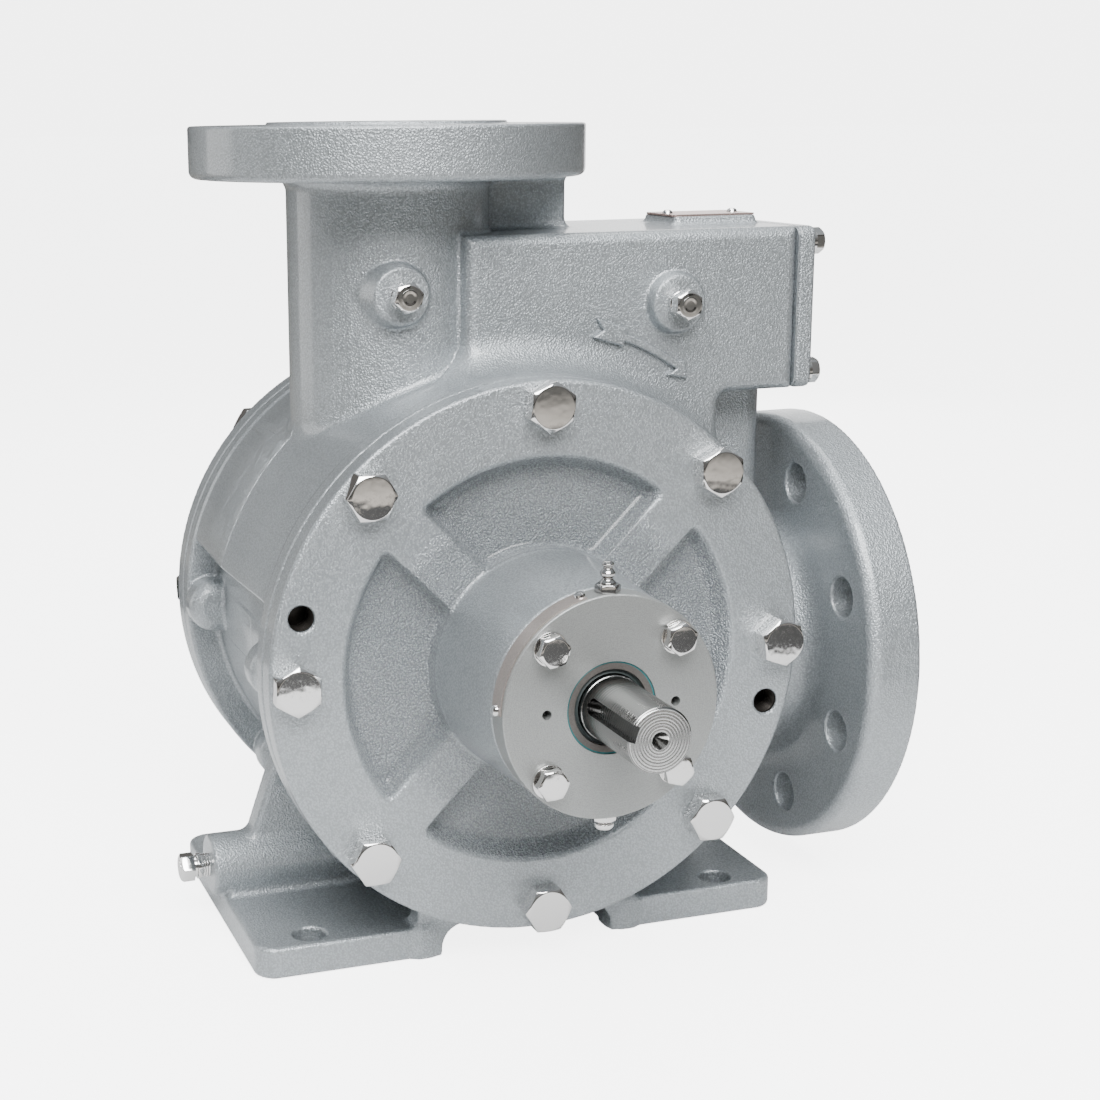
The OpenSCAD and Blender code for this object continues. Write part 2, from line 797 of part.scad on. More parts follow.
module cap_holes() {
    each_on_circle(cap_bolt_circle_r, cap_angles)
        translate([0, 0, hub_end - over])
            cylinder(h = cap_t + 2 * over, r = cap_bolt_d / 2 + 0.4, $fn = 32);
    each_on_circle(puller_circle_r, [0, 180])
        translate([0, 0, hub_end + 5])
            cylinder(h = cap_t, r = puller_hole_r, $fn = 32);
    for (a = fitting_angles) rotate([0, 0, a])
        translate([cap_r - fitting_reach - over, 0, fitting_z]) rotate([0, 90, 0])
            cylinder(h = fitting_reach + 3 * over, r = fitting_thread_r + slip, $fn = 32);
    // Feed holes on into the bearing's side of the cap
    for (a = fitting_angles) rotate([0, 0, a])
        translate([cap_cavity_r - 2, 0, fitting_feed_z]) rotate([0, 90, 0])
            cylinder(h = cap_r - fitting_reach - cap_cavity_r + 2, r = fitting_feed_r, $fn = 32);
}

module front_cap() {
    color([0.70, 0.71, 0.71]) difference() {
        cap_body();
        translate([0, 0, bearing_outer_face - over])
            cylinder(h = cap_cavity_end - bearing_outer_face + over, r = cap_cavity_r);
        translate([0, 0, cap_cavity_end - over]) cylinder(h = cap_t, r = shaft_pass_r);
        translate([0, 0, cap_face - lip_seal_w - 0.6]) cylinder(h = lip_seal_w + 2, r = lip_seal_r + slip);
        cap_holes();
        strip_screw_holes(cap_r - 5, cap_r + over);
    }
}

module rear_cap() {
    color([0.70, 0.71, 0.71]) difference() {
        cap_body();
        translate([0, 0, bearing_outer_face - over])
            cylinder(h = rear_shaft_end - bearing_outer_face + 2 + over, r = cap_cavity_r);
        cap_holes();
    }
}

module cap_bolt_set() {
    color([0.80, 0.80, 0.78])
        each_on_circle(cap_bolt_circle_r, cap_angles)
            translate([0, 0, cap_face + washer_t]) rotate([0, 0, bolt_hex_turn + 10])
                hex_bolt(cap_bolt_d, cap_bolt_af, cap_bolt_h, washer_t + cap_t + cap_bolt_reach);
}

module cap_washer_set() {
    color([0.75, 0.75, 0.74])
        each_on_circle(cap_bolt_circle_r, cap_angles)
            ring(cap_bolt_af / 2 + 1.3, cap_bolt_d / 2 + 0.25, cap_face, cap_face + washer_t);
}

// Grease fitting standing on the cap's rim, its foot at local z = 0
module grease_fitting() {
    r = fitting_thread_r;
    h = grease_fitting_h;
    translate([0, 0, 0.5 - fitting_reach]) cylinder(h = fitting_reach, r = r, $fn = 32);
    translate([0, 0, 0.4]) cylinder(h = h * 0.27, r = 1.5 * r, $fn = 6);
    rotate_extrude($fn = 48) polygon([
        [0, h * 0.26], [r * 1.1, h * 0.26], [r * 0.75, h * 0.4], [r * 0.6, h * 0.46], [r, h * 0.56],
        [r, h * 0.64], [r * 0.7, h * 0.73], [r * 0.53, h * 0.77], [r * 0.53, h * 0.81],
        [r * 0.75, h * 0.87], [r * 0.78, h * 0.92], [r * 0.4, h], [0, h]
    ]);
}

// Low relief plug with a round cap
module relief_fitting() {
    r = fitting_thread_r;
    h = relief_fitting_h;
    translate([0, 0, 0.5 - fitting_reach]) cylinder(h = fitting_reach, r = r, $fn = 32);
    translate([0, 0, 0.4]) cylinder(h = h * 0.4, r = 1.7 * r, $fn = 6);
    rotate_extrude($fn = 48) polygon([
        [0, h * 0.38], [r * 1.1, h * 0.38], [r * 1.1, h * 0.5], [r * 1.55, h * 0.55],
        [r * 1.55, h * 0.75], [r * 1.25, h * 0.92], [r * 0.6, h], [0, h]
    ]);
}

module at_cap_rim(a) {
    rotate([0, 0, a]) translate([cap_r, 0, fitting_z]) rotate([0, 90, 0]) children();
}

module lip_seal_ring() {
    color([0.25, 0.27, 0.27]) rotate_extrude() difference() {
        translate([seal_track_r + run_gap, cap_face - lip_seal_w - 0.6])
            square([lip_seal_r - seal_track_r - run_gap, lip_seal_w]);
        // Hollow behind the lip, and the step between the metal case and the lip
        translate([seal_track_r + 2, cap_face - lip_seal_w - 1.6]) square([2.4, 5]);
        translate([seal_track_r - over, cap_face - 1.4]) square([2.4, 2]);
    }
}

module strip_band() {
    color([0.72, 0.71, 0.68]) difference() {
        ring_sector(cap_r + strip_t, cap_r + 0.02, fitting_z - strip_w / 2, fitting_z + strip_w / 2,
            strip_angles[0], strip_angles[1]);
        strip_screw_holes(cap_r - over, cap_r + strip_t + over);
    }
}

// Holes for the two screws of the rim strip, between two radii
module strip_screw_holes(r0, r1) {
    for (a = strip_screw_angles) rotate([0, 0, a])
        translate([r0, 0, fitting_z]) rotate([0, 90, 0])
            cylinder(h = r1 - r0, r = strip_screw_r + slip, $fn = 32);
}

module strip_screws() {
    color([0.78, 0.78, 0.77]) for (a = strip_screw_angles) rotate([0, 0, a])
        translate([cap_r, 0, fitting_z]) rotate([0, 90, 0]) {
            translate([0, 0, -4.5]) cylinder(h = 5.5, r = strip_screw_r, $fn = 32);
            translate([0, 0, strip_t + 0.05]) rotate_extrude($fn = 48)
                polygon([[0, 0], [2.9, 0], [2.7, 1.1], [1.7, 1.9], [0, 2.1]]);
        }
}

module name_plate() {
    color([0.70, 0.68, 0.66])
        difference() {
            translate([pad_x, 0, chest_z + chest_h / 2 + pad_h])
                linear_extrude(plate_t) round_rect(pad_l + 2, pad_w - 2, 2);
            for (x = [-1, 1])
                translate([pad_x + x * plate_screw_x, 0, chest_z])
                    cylinder(h = chest_h, r = plate_screw_r + slip, $fn = 32);
        }
}

module name_plate_screws() {
    color([0.78, 0.78, 0.77]) for (x = [-1, 1])
        translate([pad_x + x * plate_screw_x, 0, chest_z + chest_h / 2 + pad_h + plate_t]) {
            translate([0, 0, -plate_t - 3.5]) cylinder(h = plate_t + 4.5, r = plate_screw_r, $fn = 32);
            rotate_extrude($fn = 48) polygon([[0, 0], [2.9, 0], [2.6, 1.1], [1.6, 1.8], [0, 2]]);
        }
}

// Relief valve and its chest

module chest_cover() {
    color([0.66, 0.68, 0.69]) difference() {
        translate([chest_end_x + gasket_t, 0, chest_z]) rotate([90, 0, 90])
            linear_extrude(cover_t) round_rect(chest_w, chest_h, chest_corner);
        cover_bolt_holes(0.4);
    }
}

module cover_gasket() {
    color([0.25, 0.25, 0.26]) difference() {
        translate([chest_end_x, 0, chest_z]) rotate([90, 0, 90])
            linear_extrude(gasket_t) round_rect(chest_w - 1, chest_h - 1, chest_corner);
        cover_bolt_holes(0.4);
        translate([chest_end_x - over, 0, chest_z]) rotate([0, 90, 0])
            cylinder(h = gasket_t + 2 * over, r = chamber_r);
    }
}

module cover_bolt_holes(clear) {
    for (y = [-1, 1], z = [-1, 1])
        translate([chest_end_x - over, y * cover_bolt_y, chest_z + z * cover_bolt_z]) rotate([0, 90, 0])
            cylinder(h = cover_t + gasket_t + 2 * over, r = cover_bolt_d / 2 + clear, $fn = 32);
}

module cover_bolts() {
    color([0.80, 0.80, 0.78]) for (y = [-1, 1], z = [-1, 1])
        translate([chest_inside_end + cover_t + cover_washer_t, y * cover_bolt_y,
            chest_z + z * cover_bolt_z]) rotate([0, 90, 0])
            hex_bolt(cover_bolt_d, cover_bolt_af, cover_bolt_h,
                cover_washer_t + cover_t + gasket_t + cover_bolt_reach - 2);
}

module cover_washers() {
    color([0.75, 0.75, 0.74]) for (y = [-1, 1], z = [-1, 1])
        translate([0, y * cover_bolt_y, chest_z + z * cover_bolt_z]) rotate([0, 90, 0])
            ring(cover_bolt_af / 2 + 1, cover_bolt_d / 2 + 0.25,
                chest_inside_end + cover_t, chest_inside_end + cover_t + cover_washer_t);
}

module valve_poppet() {
    color([0.62, 0.62, 0.60]) translate([valve_seat_x + seat_gap, 0, chest_z]) rotate([0, 90, 0])
        rotate_extrude() polygon([
            [0, -9], [valve_port_r - 2, -9], [valve_port_r - 0.5, -7], [valve_port_r - 0.5, 0],
            [poppet_r, 0], [poppet_r, poppet_t - 1], [poppet_r - 1, poppet_t],
            [spring_r - spring_wire_d / 2 - 1, poppet_t], [spring_r - spring_wire_d / 2 - 1, poppet_t + 5],
            [stem_r, poppet_t + 8], [stem_r, stem_end - valve_seat_x - 2],
            [stem_r - 2, stem_end - valve_seat_x],
            [0, stem_end - valve_seat_x]
        ]);
}

module spring_guide() {
    color([0.62, 0.62, 0.60]) translate([0, 0, chest_z]) rotate([0, 90, 0]) {
        ring(chamber_r - 1, stem_r + seat_gap, spring_end, chest_inside_end);
        ring(stem_r + 4, stem_r + seat_gap, guide_front, spring_end + over / 2);
    }
}

// Middle of the spring's wire at a share t of its length, and the points round it
function spring_centre(t) = [
    spring_start + spring_wire_d / 2 + seat_gap
        + t * (spring_end - spring_start - spring_wire_d - 2 * seat_gap),
    spring_r * cos(360 * spring_turns * t), chest_z + spring_r * sin(360 * spring_turns * t)
];
function wire_point(t, k) = let (
    a = 360 * spring_turns * t, b = 360 * k / wire_sides, c = spring_centre(t)
) c + spring_wire_d / 2 * [sin(b), cos(b) * cos(a), cos(b) * sin(a)];

module valve_spring() {
    points = [for (i = [0 : spring_rings], k = [0 : wire_sides - 1]) wire_point(i / spring_rings, k)];
    sides = [for (i = [0 : spring_rings - 1], k = [0 : wire_sides - 1]) [
        i * wire_sides + k, i * wire_sides + (k + 1) % wire_sides,
        (i + 1) * wire_sides + (k + 1) % wire_sides, (i + 1) * wire_sides + k
    ]];
    first = [for (k = [0 : wire_sides - 1]) wire_sides - 1 - k];
    last = [for (k = [0 : wire_sides - 1]) spring_rings * wire_sides + k];
    color([0.35, 0.36, 0.38])
        polyhedron(points = points, faces = concat(sides, [first, last]), convexity = 10);
}

// Pipe plug with its hexagon outwards along local z; local z = 0 is the face it screws into
module pipe_plug(thread_out) {
    translate([0, 0, -plug_reach + over])
        cylinder(h = plug_reach - over + thread_out, r = plug_thread_r, $fn = 48);
    translate([0, 0, thread_out - 0.5]) cylinder(h = 3.5, r = plug_thread_r - 0.9, $fn = 48);
    translate([0, 0, thread_out + 3]) hex_head(plug_af, 6.8);
}

module gauge_plugs() {
    color([0.78, 0.78, 0.76])
        for (g = [[neck_gauge, neck_boss_y], [chest_gauge, chest_boss_y]])
            translate([g[0][0], -g[1], g[0][1]]) rotate([90, 0, 0]) rotate([0, 0, 20]) pipe_plug(1);
}

module drain_plug() {
    color([0.74, 0.74, 0.72])
        translate([drain_face_x, 0, drain_z]) rotate([0, -90, 0]) pipe_plug(7);
}

// Pumping chamber

module cam_liner() {
    color([0.55, 0.56, 0.57]) on_shaft() difference() {
        ring(case_bore_r - slip, 0, -cam_half, cam_half);
        rotate([0, 0, cam_angle]) translate([cam_offset, 0, -cam_half - over])
            cylinder(h = cam_w + 2 * over, r = cam_r);
        for (i = [-1 : 1], p = [outlet_port, inlet_port])
            ring_sector(case_bore_r + over, cam_r - cam_offset - over * 2, i * port_pitch - port_w / 2,
                i * port_pitch + port_w / 2, p[0] + 3, p[1] - 3);
        pin_hole();
        mirror([0, 0, 1]) pin_hole();
    }
}

// Hole for a pin through the end of the liner, the side plate and into the head
module pin_hole() {
    rotate([0, 0, cam_angle - 180]) translate([pin_orbit, 0, cam_half - pin_reach])
        cylinder(h = 2 * pin_reach + side_plate_t, r = pin_r, $fn = 32);
}

// Pins that keep the liner and the side plates from turning in the case
module liner_pins() {
    color([0.60, 0.60, 0.60]) on_shaft() for (s = [0, 1]) mirror([0, 0, s])
        rotate([0, 0, cam_angle - 180]) translate([pin_orbit, 0, cam_half - pin_reach + seat_gap])
            cylinder(h = 2 * pin_reach + side_plate_t - 2 * seat_gap, r = pin_r - slip, $fn = 32);
}

module side_plate() {
    color([0.58, 0.59, 0.60]) difference() {
        ring(case_bore_r - slip, rotor_seat_r + run_gap, cam_half, plate_end);
        pin_hole();
        // Crescent grooves that feed the space under the vanes
        for (a = [150, 330])
            ring_sector(rotor_r - vane_h - 4, rotor_r - vane_h - 12, cam_half - over, cam_half + 3,
                a, a + groove_turn);
    }
}

module rotor() {
    color([0.60, 0.61, 0.62]) on_shaft() difference() {
        ring(rotor_r, rotor_seat_r + slip, -cam_half + run_gap, cam_half - run_gap);
        for (i = [0 : vanes - 1]) rotate([0, 0, i * 360 / vanes])
            translate([slot_foot, -vane_t / 2 - vane_gap, -cam_half - over])
                cube([vane_h + vane_stroke + 20, vane_t + 2 * vane_gap, cam_w + 2 * over]);
        for (a = rotor_key_angles) rotate([0, 0, a])
            translate([0, -rotor_key_w / 2 - slip, -cam_half - over])
                cube([rotor_seat_r + rotor_key_d / 2 + slip, rotor_key_w + 2 * slip, cam_w + 2 * over]);
    }
}

module rotor_keys() {
    color([0.66, 0.66, 0.66]) on_shaft() for (a = rotor_key_angles) rotate([0, 0, a])
        translate([rotor_seat_r - rotor_key_d / 2, -rotor_key_w / 2, -cam_half + rotor_key_inset])
            cube([rotor_key_d, rotor_key_w, cam_w - 2 * rotor_key_inset]);
}

// One vane with a rounded tip and a foot relieved on its trailing side
module vane(i) {
    color([0.22, 0.23, 0.24]) on_shaft() rotate([0, 0, i * 360 / vanes])
        translate([0, 0, -cam_half + run_gap]) linear_extrude(cam_w - 2 * run_gap)
            intersection() {
                translate([rotor_r - vane_h, -vane_t / 2]) square([vane_h, vane_t]);
                translate([rotor_r - vane_tip_r, 0]) union() {
                    circle(vane_tip_r, $fn = 64);
                    translate([-vane_h, -vane_t]) square([vane_h + 8, 2 * vane_t]);
                }
            }
}

module shaft() {
    color([0.74, 0.75, 0.76]) on_shaft() difference() {
        rotate_extrude() polygon([
            [0, -rear_shaft_end], [bearing_seat_r - 1.2, -rear_shaft_end],
            [bearing_seat_r, -rear_shaft_end + 1.2], [bearing_seat_r, -bearing_inner_face],
            [seal_seat_r, -bearing_inner_face], [seal_seat_r, -seal_ring_back],
            [rotor_seat_r, -seal_ring_back], [rotor_seat_r, seal_ring_back],
            [seal_seat_r, seal_ring_back], [seal_seat_r, bearing_inner_face],
            [bearing_seat_r, bearing_inner_face], [bearing_seat_r, cap_cavity_end - 0.6],
            [seal_track_r, cap_cavity_end - 0.2], [seal_track_r, cap_face + 0.6],
            [shaft_end_r, cap_face + 1], [shaft_end_r, shaft_tip - 1],
            [shaft_end_r - 1, shaft_tip], [0, shaft_tip]
        ]);
        // Slot of the coupling key, with a round end towards the cap
        rotate([0, 0, keyway_angle])
            translate([shaft_end_r - keyway_depth, 0, shaft_tip - keyway_l]) union() {
                rotate([0, 90, 0]) cylinder(h = keyway_depth + over, r = keyway_w / 2, $fn = 48);
                translate([0, -keyway_w / 2, 0]) cube([keyway_depth + over, keyway_w, keyway_l + over]);
            }
        // Centre hole
        translate([0, 0, shaft_tip - centre_depth])
            cylinder(h = centre_depth + slip, r1 = centre_depth * 0.03, r2 = centre_r, $fn = 48);
        for (a = rotor_key_angles) rotate([0, 0, a])
            translate([rotor_seat_r - rotor_key_d / 2, -rotor_key_w / 2 - slip,
                -cam_half + rotor_key_inset - slip])
                cube([rotor_key_d, rotor_key_w + 2 * slip, cam_w - 2 * rotor_key_inset + 2 * slip]);
    }
}

// Seals and bearings

module seal_seat() {
    color([0.20, 0.20, 0.21])
        ring(seal_r, seal_seat_r + 0.6, seal_face, seat_shoulder);
}

module seal_ring() {
    color([0.50, 0.50, 0.52]) translate([0, 0, seal_ring_back]) rotate_extrude() polygon([
        [seal_seat_r + slip, 0], [seal_r - 3, 0], [seal_r - 3, 9], [seal_r - 1, 10],
        [seal_r - 1, seal_ring_l - 6], [seal_r - 4, seal_ring_l - 5], [seal_r - 4, seal_ring_l],
        [seal_seat_r + 1.6, seal_ring_l], [seal_seat_r + 1.6, seal_ring_l - 5],
        [seal_seat_r + slip, seal_ring_l - 6]
    ]);
}

module bearing_outer() {
    color([0.70, 0.71, 0.72]) difference() {
        ring(bearing_r, race_out_r - race_lip, bearing_inner_face, bearing_outer_face);
        translate([0, 0, bearing_inner_face + race_lip])
            cylinder(h = bearing_w - 2 * race_lip, r = race_out_r);
    }
}

module bearing_inner() {
    color([0.70, 0.71, 0.72])
        ring(race_in_r, bearing_seat_r + slip, bearing_inner_face, bearing_outer_face);
}

// Rollers and the cage that spaces them
module roller_set() {
    color([0.72, 0.66, 0.50]) union() {
        each_on_circle(pitch_r, [for (i = [0 : rollers - 1]) i * 360 / rollers])
            translate([0, 0, bearing_inner_face + race_lip + roller_gap])
                cylinder(h = bearing_w - 2 * (race_lip + roller_gap), r = roller_r, $fn = 48);
        ring(pitch_r + cage_half_t, pitch_r - cage_half_t,
            bearing_inner_face + cage_inset, bearing_outer_face - cage_inset);
    }
}

module lock_nut() {
    difference() {
        ring(lock_nut_r, bearing_seat_r + slip, bearing_outer_face + slip, bearing_outer_face + lock_nut_l);
        for (a = [0, 90, 180, 270]) rotate([0, 0, a])
            translate([lock_nut_r - 2.5, -2.5, bearing_outer_face]) cube([4, 5, lock_nut_l + over]);
    }
}

module o_ring() {
    rotate_extrude() translate([case_bore_r - o_ring_groove / 2 - slip / 2, o_ring_y])
        circle(o_ring_groove / 2 - slip, $fn = 32);
}

// Each node, placed at its own end of the shaft

module front_head() {
    on_shaft() head_casting();
}

module rear_head() {
    on_shaft_rear() head_casting();
}

module front_head_bolts() {
    on_shaft() head_bolt_set();
}

module rear_head_bolts() {
    on_shaft_rear() head_bolt_set();
}

module front_bearing_cap() {
    on_shaft() front_cap();
}

module rear_bearing_cap() {
    on_shaft_rear() rear_cap();
}

module front_cap_bolts() {
    on_shaft() cap_bolt_set();
}

module rear_cap_bolts() {
    on_shaft_rear() cap_bolt_set();
}

module front_cap_washers() {
    on_shaft() cap_washer_set();
}

module rear_cap_washers() {
    on_shaft_rear() cap_washer_set();
}

module lip_seal() {
    on_shaft() lip_seal_ring();
}

module rim_strip() {
    on_shaft() strip_band();
}

module rim_strip_screws() {
    on_shaft() strip_screws();
}

module front_side_plate() {
    on_shaft() side_plate();
}

module rear_side_plate() {
    on_shaft_rear() side_plate();
}

module front_seal_seat() {
    on_shaft() seal_seat();
}

module rear_seal_seat() {
    on_shaft_rear() seal_seat();
}

module front_seal_ring() {
    on_shaft() seal_ring();
}

module rear_seal_ring() {
    on_shaft_rear() seal_ring();
}

module front_bearing_outer() {
    on_shaft() bearing_outer();
}

module rear_bearing_outer() {
    on_shaft_rear() bearing_outer();
}

module front_bearing_inner() {
    on_shaft() bearing_inner();
}

module rear_bearing_inner() {
    on_shaft_rear() bearing_inner();
}

module front_rollers() {
    on_shaft() roller_set();
}

module rear_rollers() {
    on_shaft_rear() roller_set();
}

module head_o_rings() {
    color([0.10, 0.10, 0.10]) both_ends() o_ring();
}

module grease_fittings() {
    color([0.80, 0.80, 0.78]) both_ends() at_cap_rim(fitting_angles[0]) grease_fitting();
}

module relief_fittings() {
    color([0.80, 0.80, 0.78]) both_ends() at_cap_rim(fitting_angles[1]) relief_fitting();
}

module lock_nuts() {
    color([0.50, 0.50, 0.50]) both_ends() lock_nut();
}

module vane_1() {
    vane(0);
}

module vane_2() {
    vane(1);
}

module vane_3() {
    vane(2);
}

module vane_4() {
    vane(3);
}

module vane_5() {
    vane(4);
}

module vane_6() {
    vane(5);
}

case();
front_head();
rear_head();
front_head_bolts();
rear_head_bolts();
front_bearing_cap();
rear_bearing_cap();
front_cap_bolts();
rear_cap_bolts();
front_cap_washers();
rear_cap_washers();
head_o_rings();
lip_seal();
grease_fittings();
relief_fittings();
rim_strip();
rim_strip_screws();
name_plate();
name_plate_screws();
chest_cover();
cover_gasket();
cover_bolts();
cover_washers();
valve_poppet();
valve_spring();
spring_guide();
gauge_plugs();
drain_plug();
cam_liner();
liner_pins();
front_side_plate();
rear_side_plate();
front_seal_seat();
rear_seal_seat();
front_seal_ring();
rear_seal_ring();
front_bearing_outer();
rear_bearing_outer();
front_bearing_inner();
rear_bearing_inner();
front_rollers();
rear_rollers();
shaft();
rotor();
rotor_keys();
lock_nuts();
vane_1();
vane_2();
vane_3();
vane_4();
vane_5();
vane_6();
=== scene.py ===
"""Looks of a flange-ported sliding vane pump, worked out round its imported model."""

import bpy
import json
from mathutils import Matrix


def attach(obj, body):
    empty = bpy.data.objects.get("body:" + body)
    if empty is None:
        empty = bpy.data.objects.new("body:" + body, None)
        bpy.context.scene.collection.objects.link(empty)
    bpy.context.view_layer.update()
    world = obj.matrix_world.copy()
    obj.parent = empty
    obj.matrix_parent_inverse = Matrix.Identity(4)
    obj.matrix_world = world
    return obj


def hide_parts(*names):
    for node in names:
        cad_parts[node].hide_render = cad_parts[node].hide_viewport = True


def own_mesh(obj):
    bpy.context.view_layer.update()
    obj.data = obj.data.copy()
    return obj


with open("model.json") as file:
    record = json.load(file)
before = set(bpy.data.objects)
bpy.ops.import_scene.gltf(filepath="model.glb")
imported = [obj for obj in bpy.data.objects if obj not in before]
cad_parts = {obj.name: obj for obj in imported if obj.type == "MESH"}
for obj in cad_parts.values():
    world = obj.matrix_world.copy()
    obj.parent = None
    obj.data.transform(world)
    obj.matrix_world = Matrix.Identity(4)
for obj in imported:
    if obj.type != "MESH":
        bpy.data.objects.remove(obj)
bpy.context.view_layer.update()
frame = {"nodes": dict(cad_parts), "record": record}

import json
import logging
import math
from collections.abc import Callable, Sequence
from concurrent.futures import ThreadPoolExecutor
from dataclasses import dataclass, field
from enum import Enum

import bmesh
import bpy
import numpy as np
from mathutils import Matrix, Vector

Array = np.ndarray
Distance = Callable[[Array], Array]

LOG = logging.getLogger("pump")
MM = 0.001
# Sizes in millimetres, and angles in degrees, that several pieces share.
SHAFT_Z = 164.0
VALVE_Z = 334.3
BOLT_CIRCLE = 133.35
JACK_ANGLES = (165.0, 345.0)
# How far from its box, in millimetres, a form answers with the distance to the box alone.
FAR = 30.0
WORKERS = 4
MOST_TRIANGLES = 190_000
# The two other coordinates of each row axis.
OTHERS = {0: (1, 2), 1: (0, 2), 2: (0, 1)}


class Axis(Enum):
    """A row axis, by its place in a point."""

    X = 0
    Y = 1
    Z = 2


class End(Enum):
    """The two ends of the pump, by the side of the middle plane that each lies on."""

    FRONT = -1
    REAR = 1


def on_circle(radius: float, angle: float) -> tuple[float, float]:
    """A place round the shaft, as X and Z, at an angle in degrees."""
    a = math.radians(angle)
    return radius * math.cos(a), SHAFT_Z + radius * math.sin(a)


def side_by_side(work: Callable[[Array], object], parts: Sequence[Array]) -> list:
    """Does the same work on several arrays at once, and gives the results in the arrays' order."""
    with ThreadPoolExecutor(WORKERS) as pool:
        return list(pool.map(work, parts))


def round_union(a: Array, b: Array, fillet: float) -> Array:
    """The smaller of two distances, less a circle's bulge that fills the corner between them."""
    if fillet <= 0:
        return np.minimum(a, b)
    bulge = np.hypot(np.maximum(fillet - a, 0), np.maximum(fillet - b, 0))
    return np.maximum(fillet, np.minimum(a, b)) - bulge


def round_share(a: Array, b: Array, edge: float) -> Array:
    """The larger of two distances, plus a circle's cut that takes off the edge between them."""
    if edge <= 0:
        return np.maximum(a, b)
    cut = np.hypot(np.maximum(edge + a, 0), np.maximum(edge + b, 0))
    return np.minimum(-edge, np.maximum(a, b)) + cut


@dataclass(frozen=True)
class Form:
    """A solid given by its distance in millimetres, negative inside, and the box that holds it.

    Far from its box a form answers with the distance to the box, which is no more than the true one.
    """

    distance: Distance
    low: Array
    high: Array

    def at(self, points: Array) -> Array:
        """Distance of each point from the form's skin.

        Args:
            points: An N by 3 array in millimetres.

        Returns:
            N signed distances.
        """
        near = np.maximum(self.low - points.max(0), points.min(0) - self.high)
        gap = float(near.max())
        if gap > FAR:
            return np.full(len(points), gap)
        return self.distance(points)

    def join(self, other: "Form", fillet: float = 0.0) -> "Form":
        """This form and another as one, with a concave quarter round where they meet.

        Args:
            other: The form to add.
            fillet: Radius of the quarter round.

        Returns:
            The joined form.
        """
        return weld([self, other], [(0, 1, fillet)])

    def keep(self, other: "Form", edge: float = 0.0) -> "Form":
        """What this form and another share, with a convex quarter round along the new edge.

        Args:
            other: The form to keep to.
            edge: Radius of the quarter round.

        Returns:
            The shared form.
        """
        low, high = np.maximum(self.low, other.low), np.minimum(self.high, other.high)
        return Form(lambda points: round_share(self.at(points), other.at(points), edge), low, high)

    def cut(self, other: "Form", edge: float = 0.0) -> "Form":
        """This form without another, with the new edge rounded.

        Args:
            other: The form to take away.
            edge: Radius of the rounding.

        Returns:
            What is left.
        """
        return Form(lambda points: round_share(self.at(points), -other.at(points), edge), self.low, self.high)

    def folded(self, *axes: Axis) -> "Form":
        """This form and its mirror images across the planes through the origin, given the half on the low side.

        Args:
            *axes: The axes whose planes mirror it.

        Returns:
            The symmetrical form.
        """
        places = [axis.value for axis in axes]

        def distance(points: Array) -> Array:
            low_side = points.copy()
            low_side[:, places] = -np.abs(low_side[:, places])
            return self.at(low_side)

        high = self.high.copy()
        high[places] = -self.low[places]
        return Form(distance, self.low, high)


def weld(forms: Sequence[Form], seams: Sequence[tuple[int, int, float]]) -> Form:
    """Several forms as one, with a fillet of its own between each named pair.

    Args:
        forms: The forms.
        seams: Places of two forms in that list, and the radius of the fillet between them.

    Returns:
        The joined form. Its distance is the least of the forms' own and of the filleted pairs'.
    """

    def distance(points: Array) -> Array:
        each = [form.at(points) for form in forms]
        least = np.minimum.reduce(each)
        for one, two, fillet in seams:
            if each[one].min() < fillet and each[two].min() < fillet:
                least = np.minimum(least, round_union(each[one], each[two], fillet))
        return least

    low = np.minimum.reduce([form.low for form in forms])
    high = np.maximum.reduce([form.high for form in forms])
    return Form(distance, low, high)


def rounded(radial: Array, along: Array, edge: float) -> Array:
    """Distance from a corner between two walls, given how far a point is past each, less a rounding."""
    outside = np.hypot(np.maximum(radial, 0), np.maximum(along, 0))
    return np.minimum(np.maximum(radial, along), 0) + outside - edge


def rod(axis: Axis, centre: Sequence[float], radius: float, low: float, high: float, edge: float = 0.0) -> Form:
    """A cylinder along a row axis: the larger of how far a point is past its round and past its ends.

    Args:
        axis: The row axis that it lies along.
        centre: Its centre in the two other coordinates, in X, Y, Z order.
        radius: Its radius.
        low: Where it starts along the axis.
        high: Where it ends.
        edge: Radius of its rims.

    Returns:
        The cylinder.
    """
    return cone(axis, centre, radius, radius, low, high, edge)


def cone(
    axis: Axis, centre: Sequence[float], first: float, last: float, low: float, high: float, edge: float = 0.0
) -> Form:
    """A frustum along a row axis, whose radius runs evenly from first at low to last at high.

    Args:
        axis: The row axis that it lies along.
        centre: Its centre in the two other coordinates, in X, Y, Z order.
        first: Radius at the low end.
        last: Radius at the high end.
        low: Where it starts along the axis.
        high: Where it ends.
        edge: Radius of its rims.

    Returns:
        The frustum.
    """
    k, (i, j) = axis.value, OTHERS[axis.value]
    middle, half = (low + high) / 2, (high - low) / 2
    slope = (last - first) / (high - low)
    lean = 1 / math.hypot(1, slope)

    def distance(points: Array) -> Array:
        along = points[:, k] - middle
        size = (first + last) / 2 + slope * along
        radial = (np.hypot(points[:, i] - centre[0], points[:, j] - centre[1]) - size) * lean
        return rounded(radial + edge, np.abs(along) - half + edge, edge)

    reach = max(first, last)
    bottom, top = np.zeros(3), np.zeros(3)
    bottom[[k, i, j]] = low, centre[0] - reach, centre[1] - reach
    top[[k, i, j]] = high, centre[0] + reach, centre[1] + reach
    return Form(distance, bottom, top)


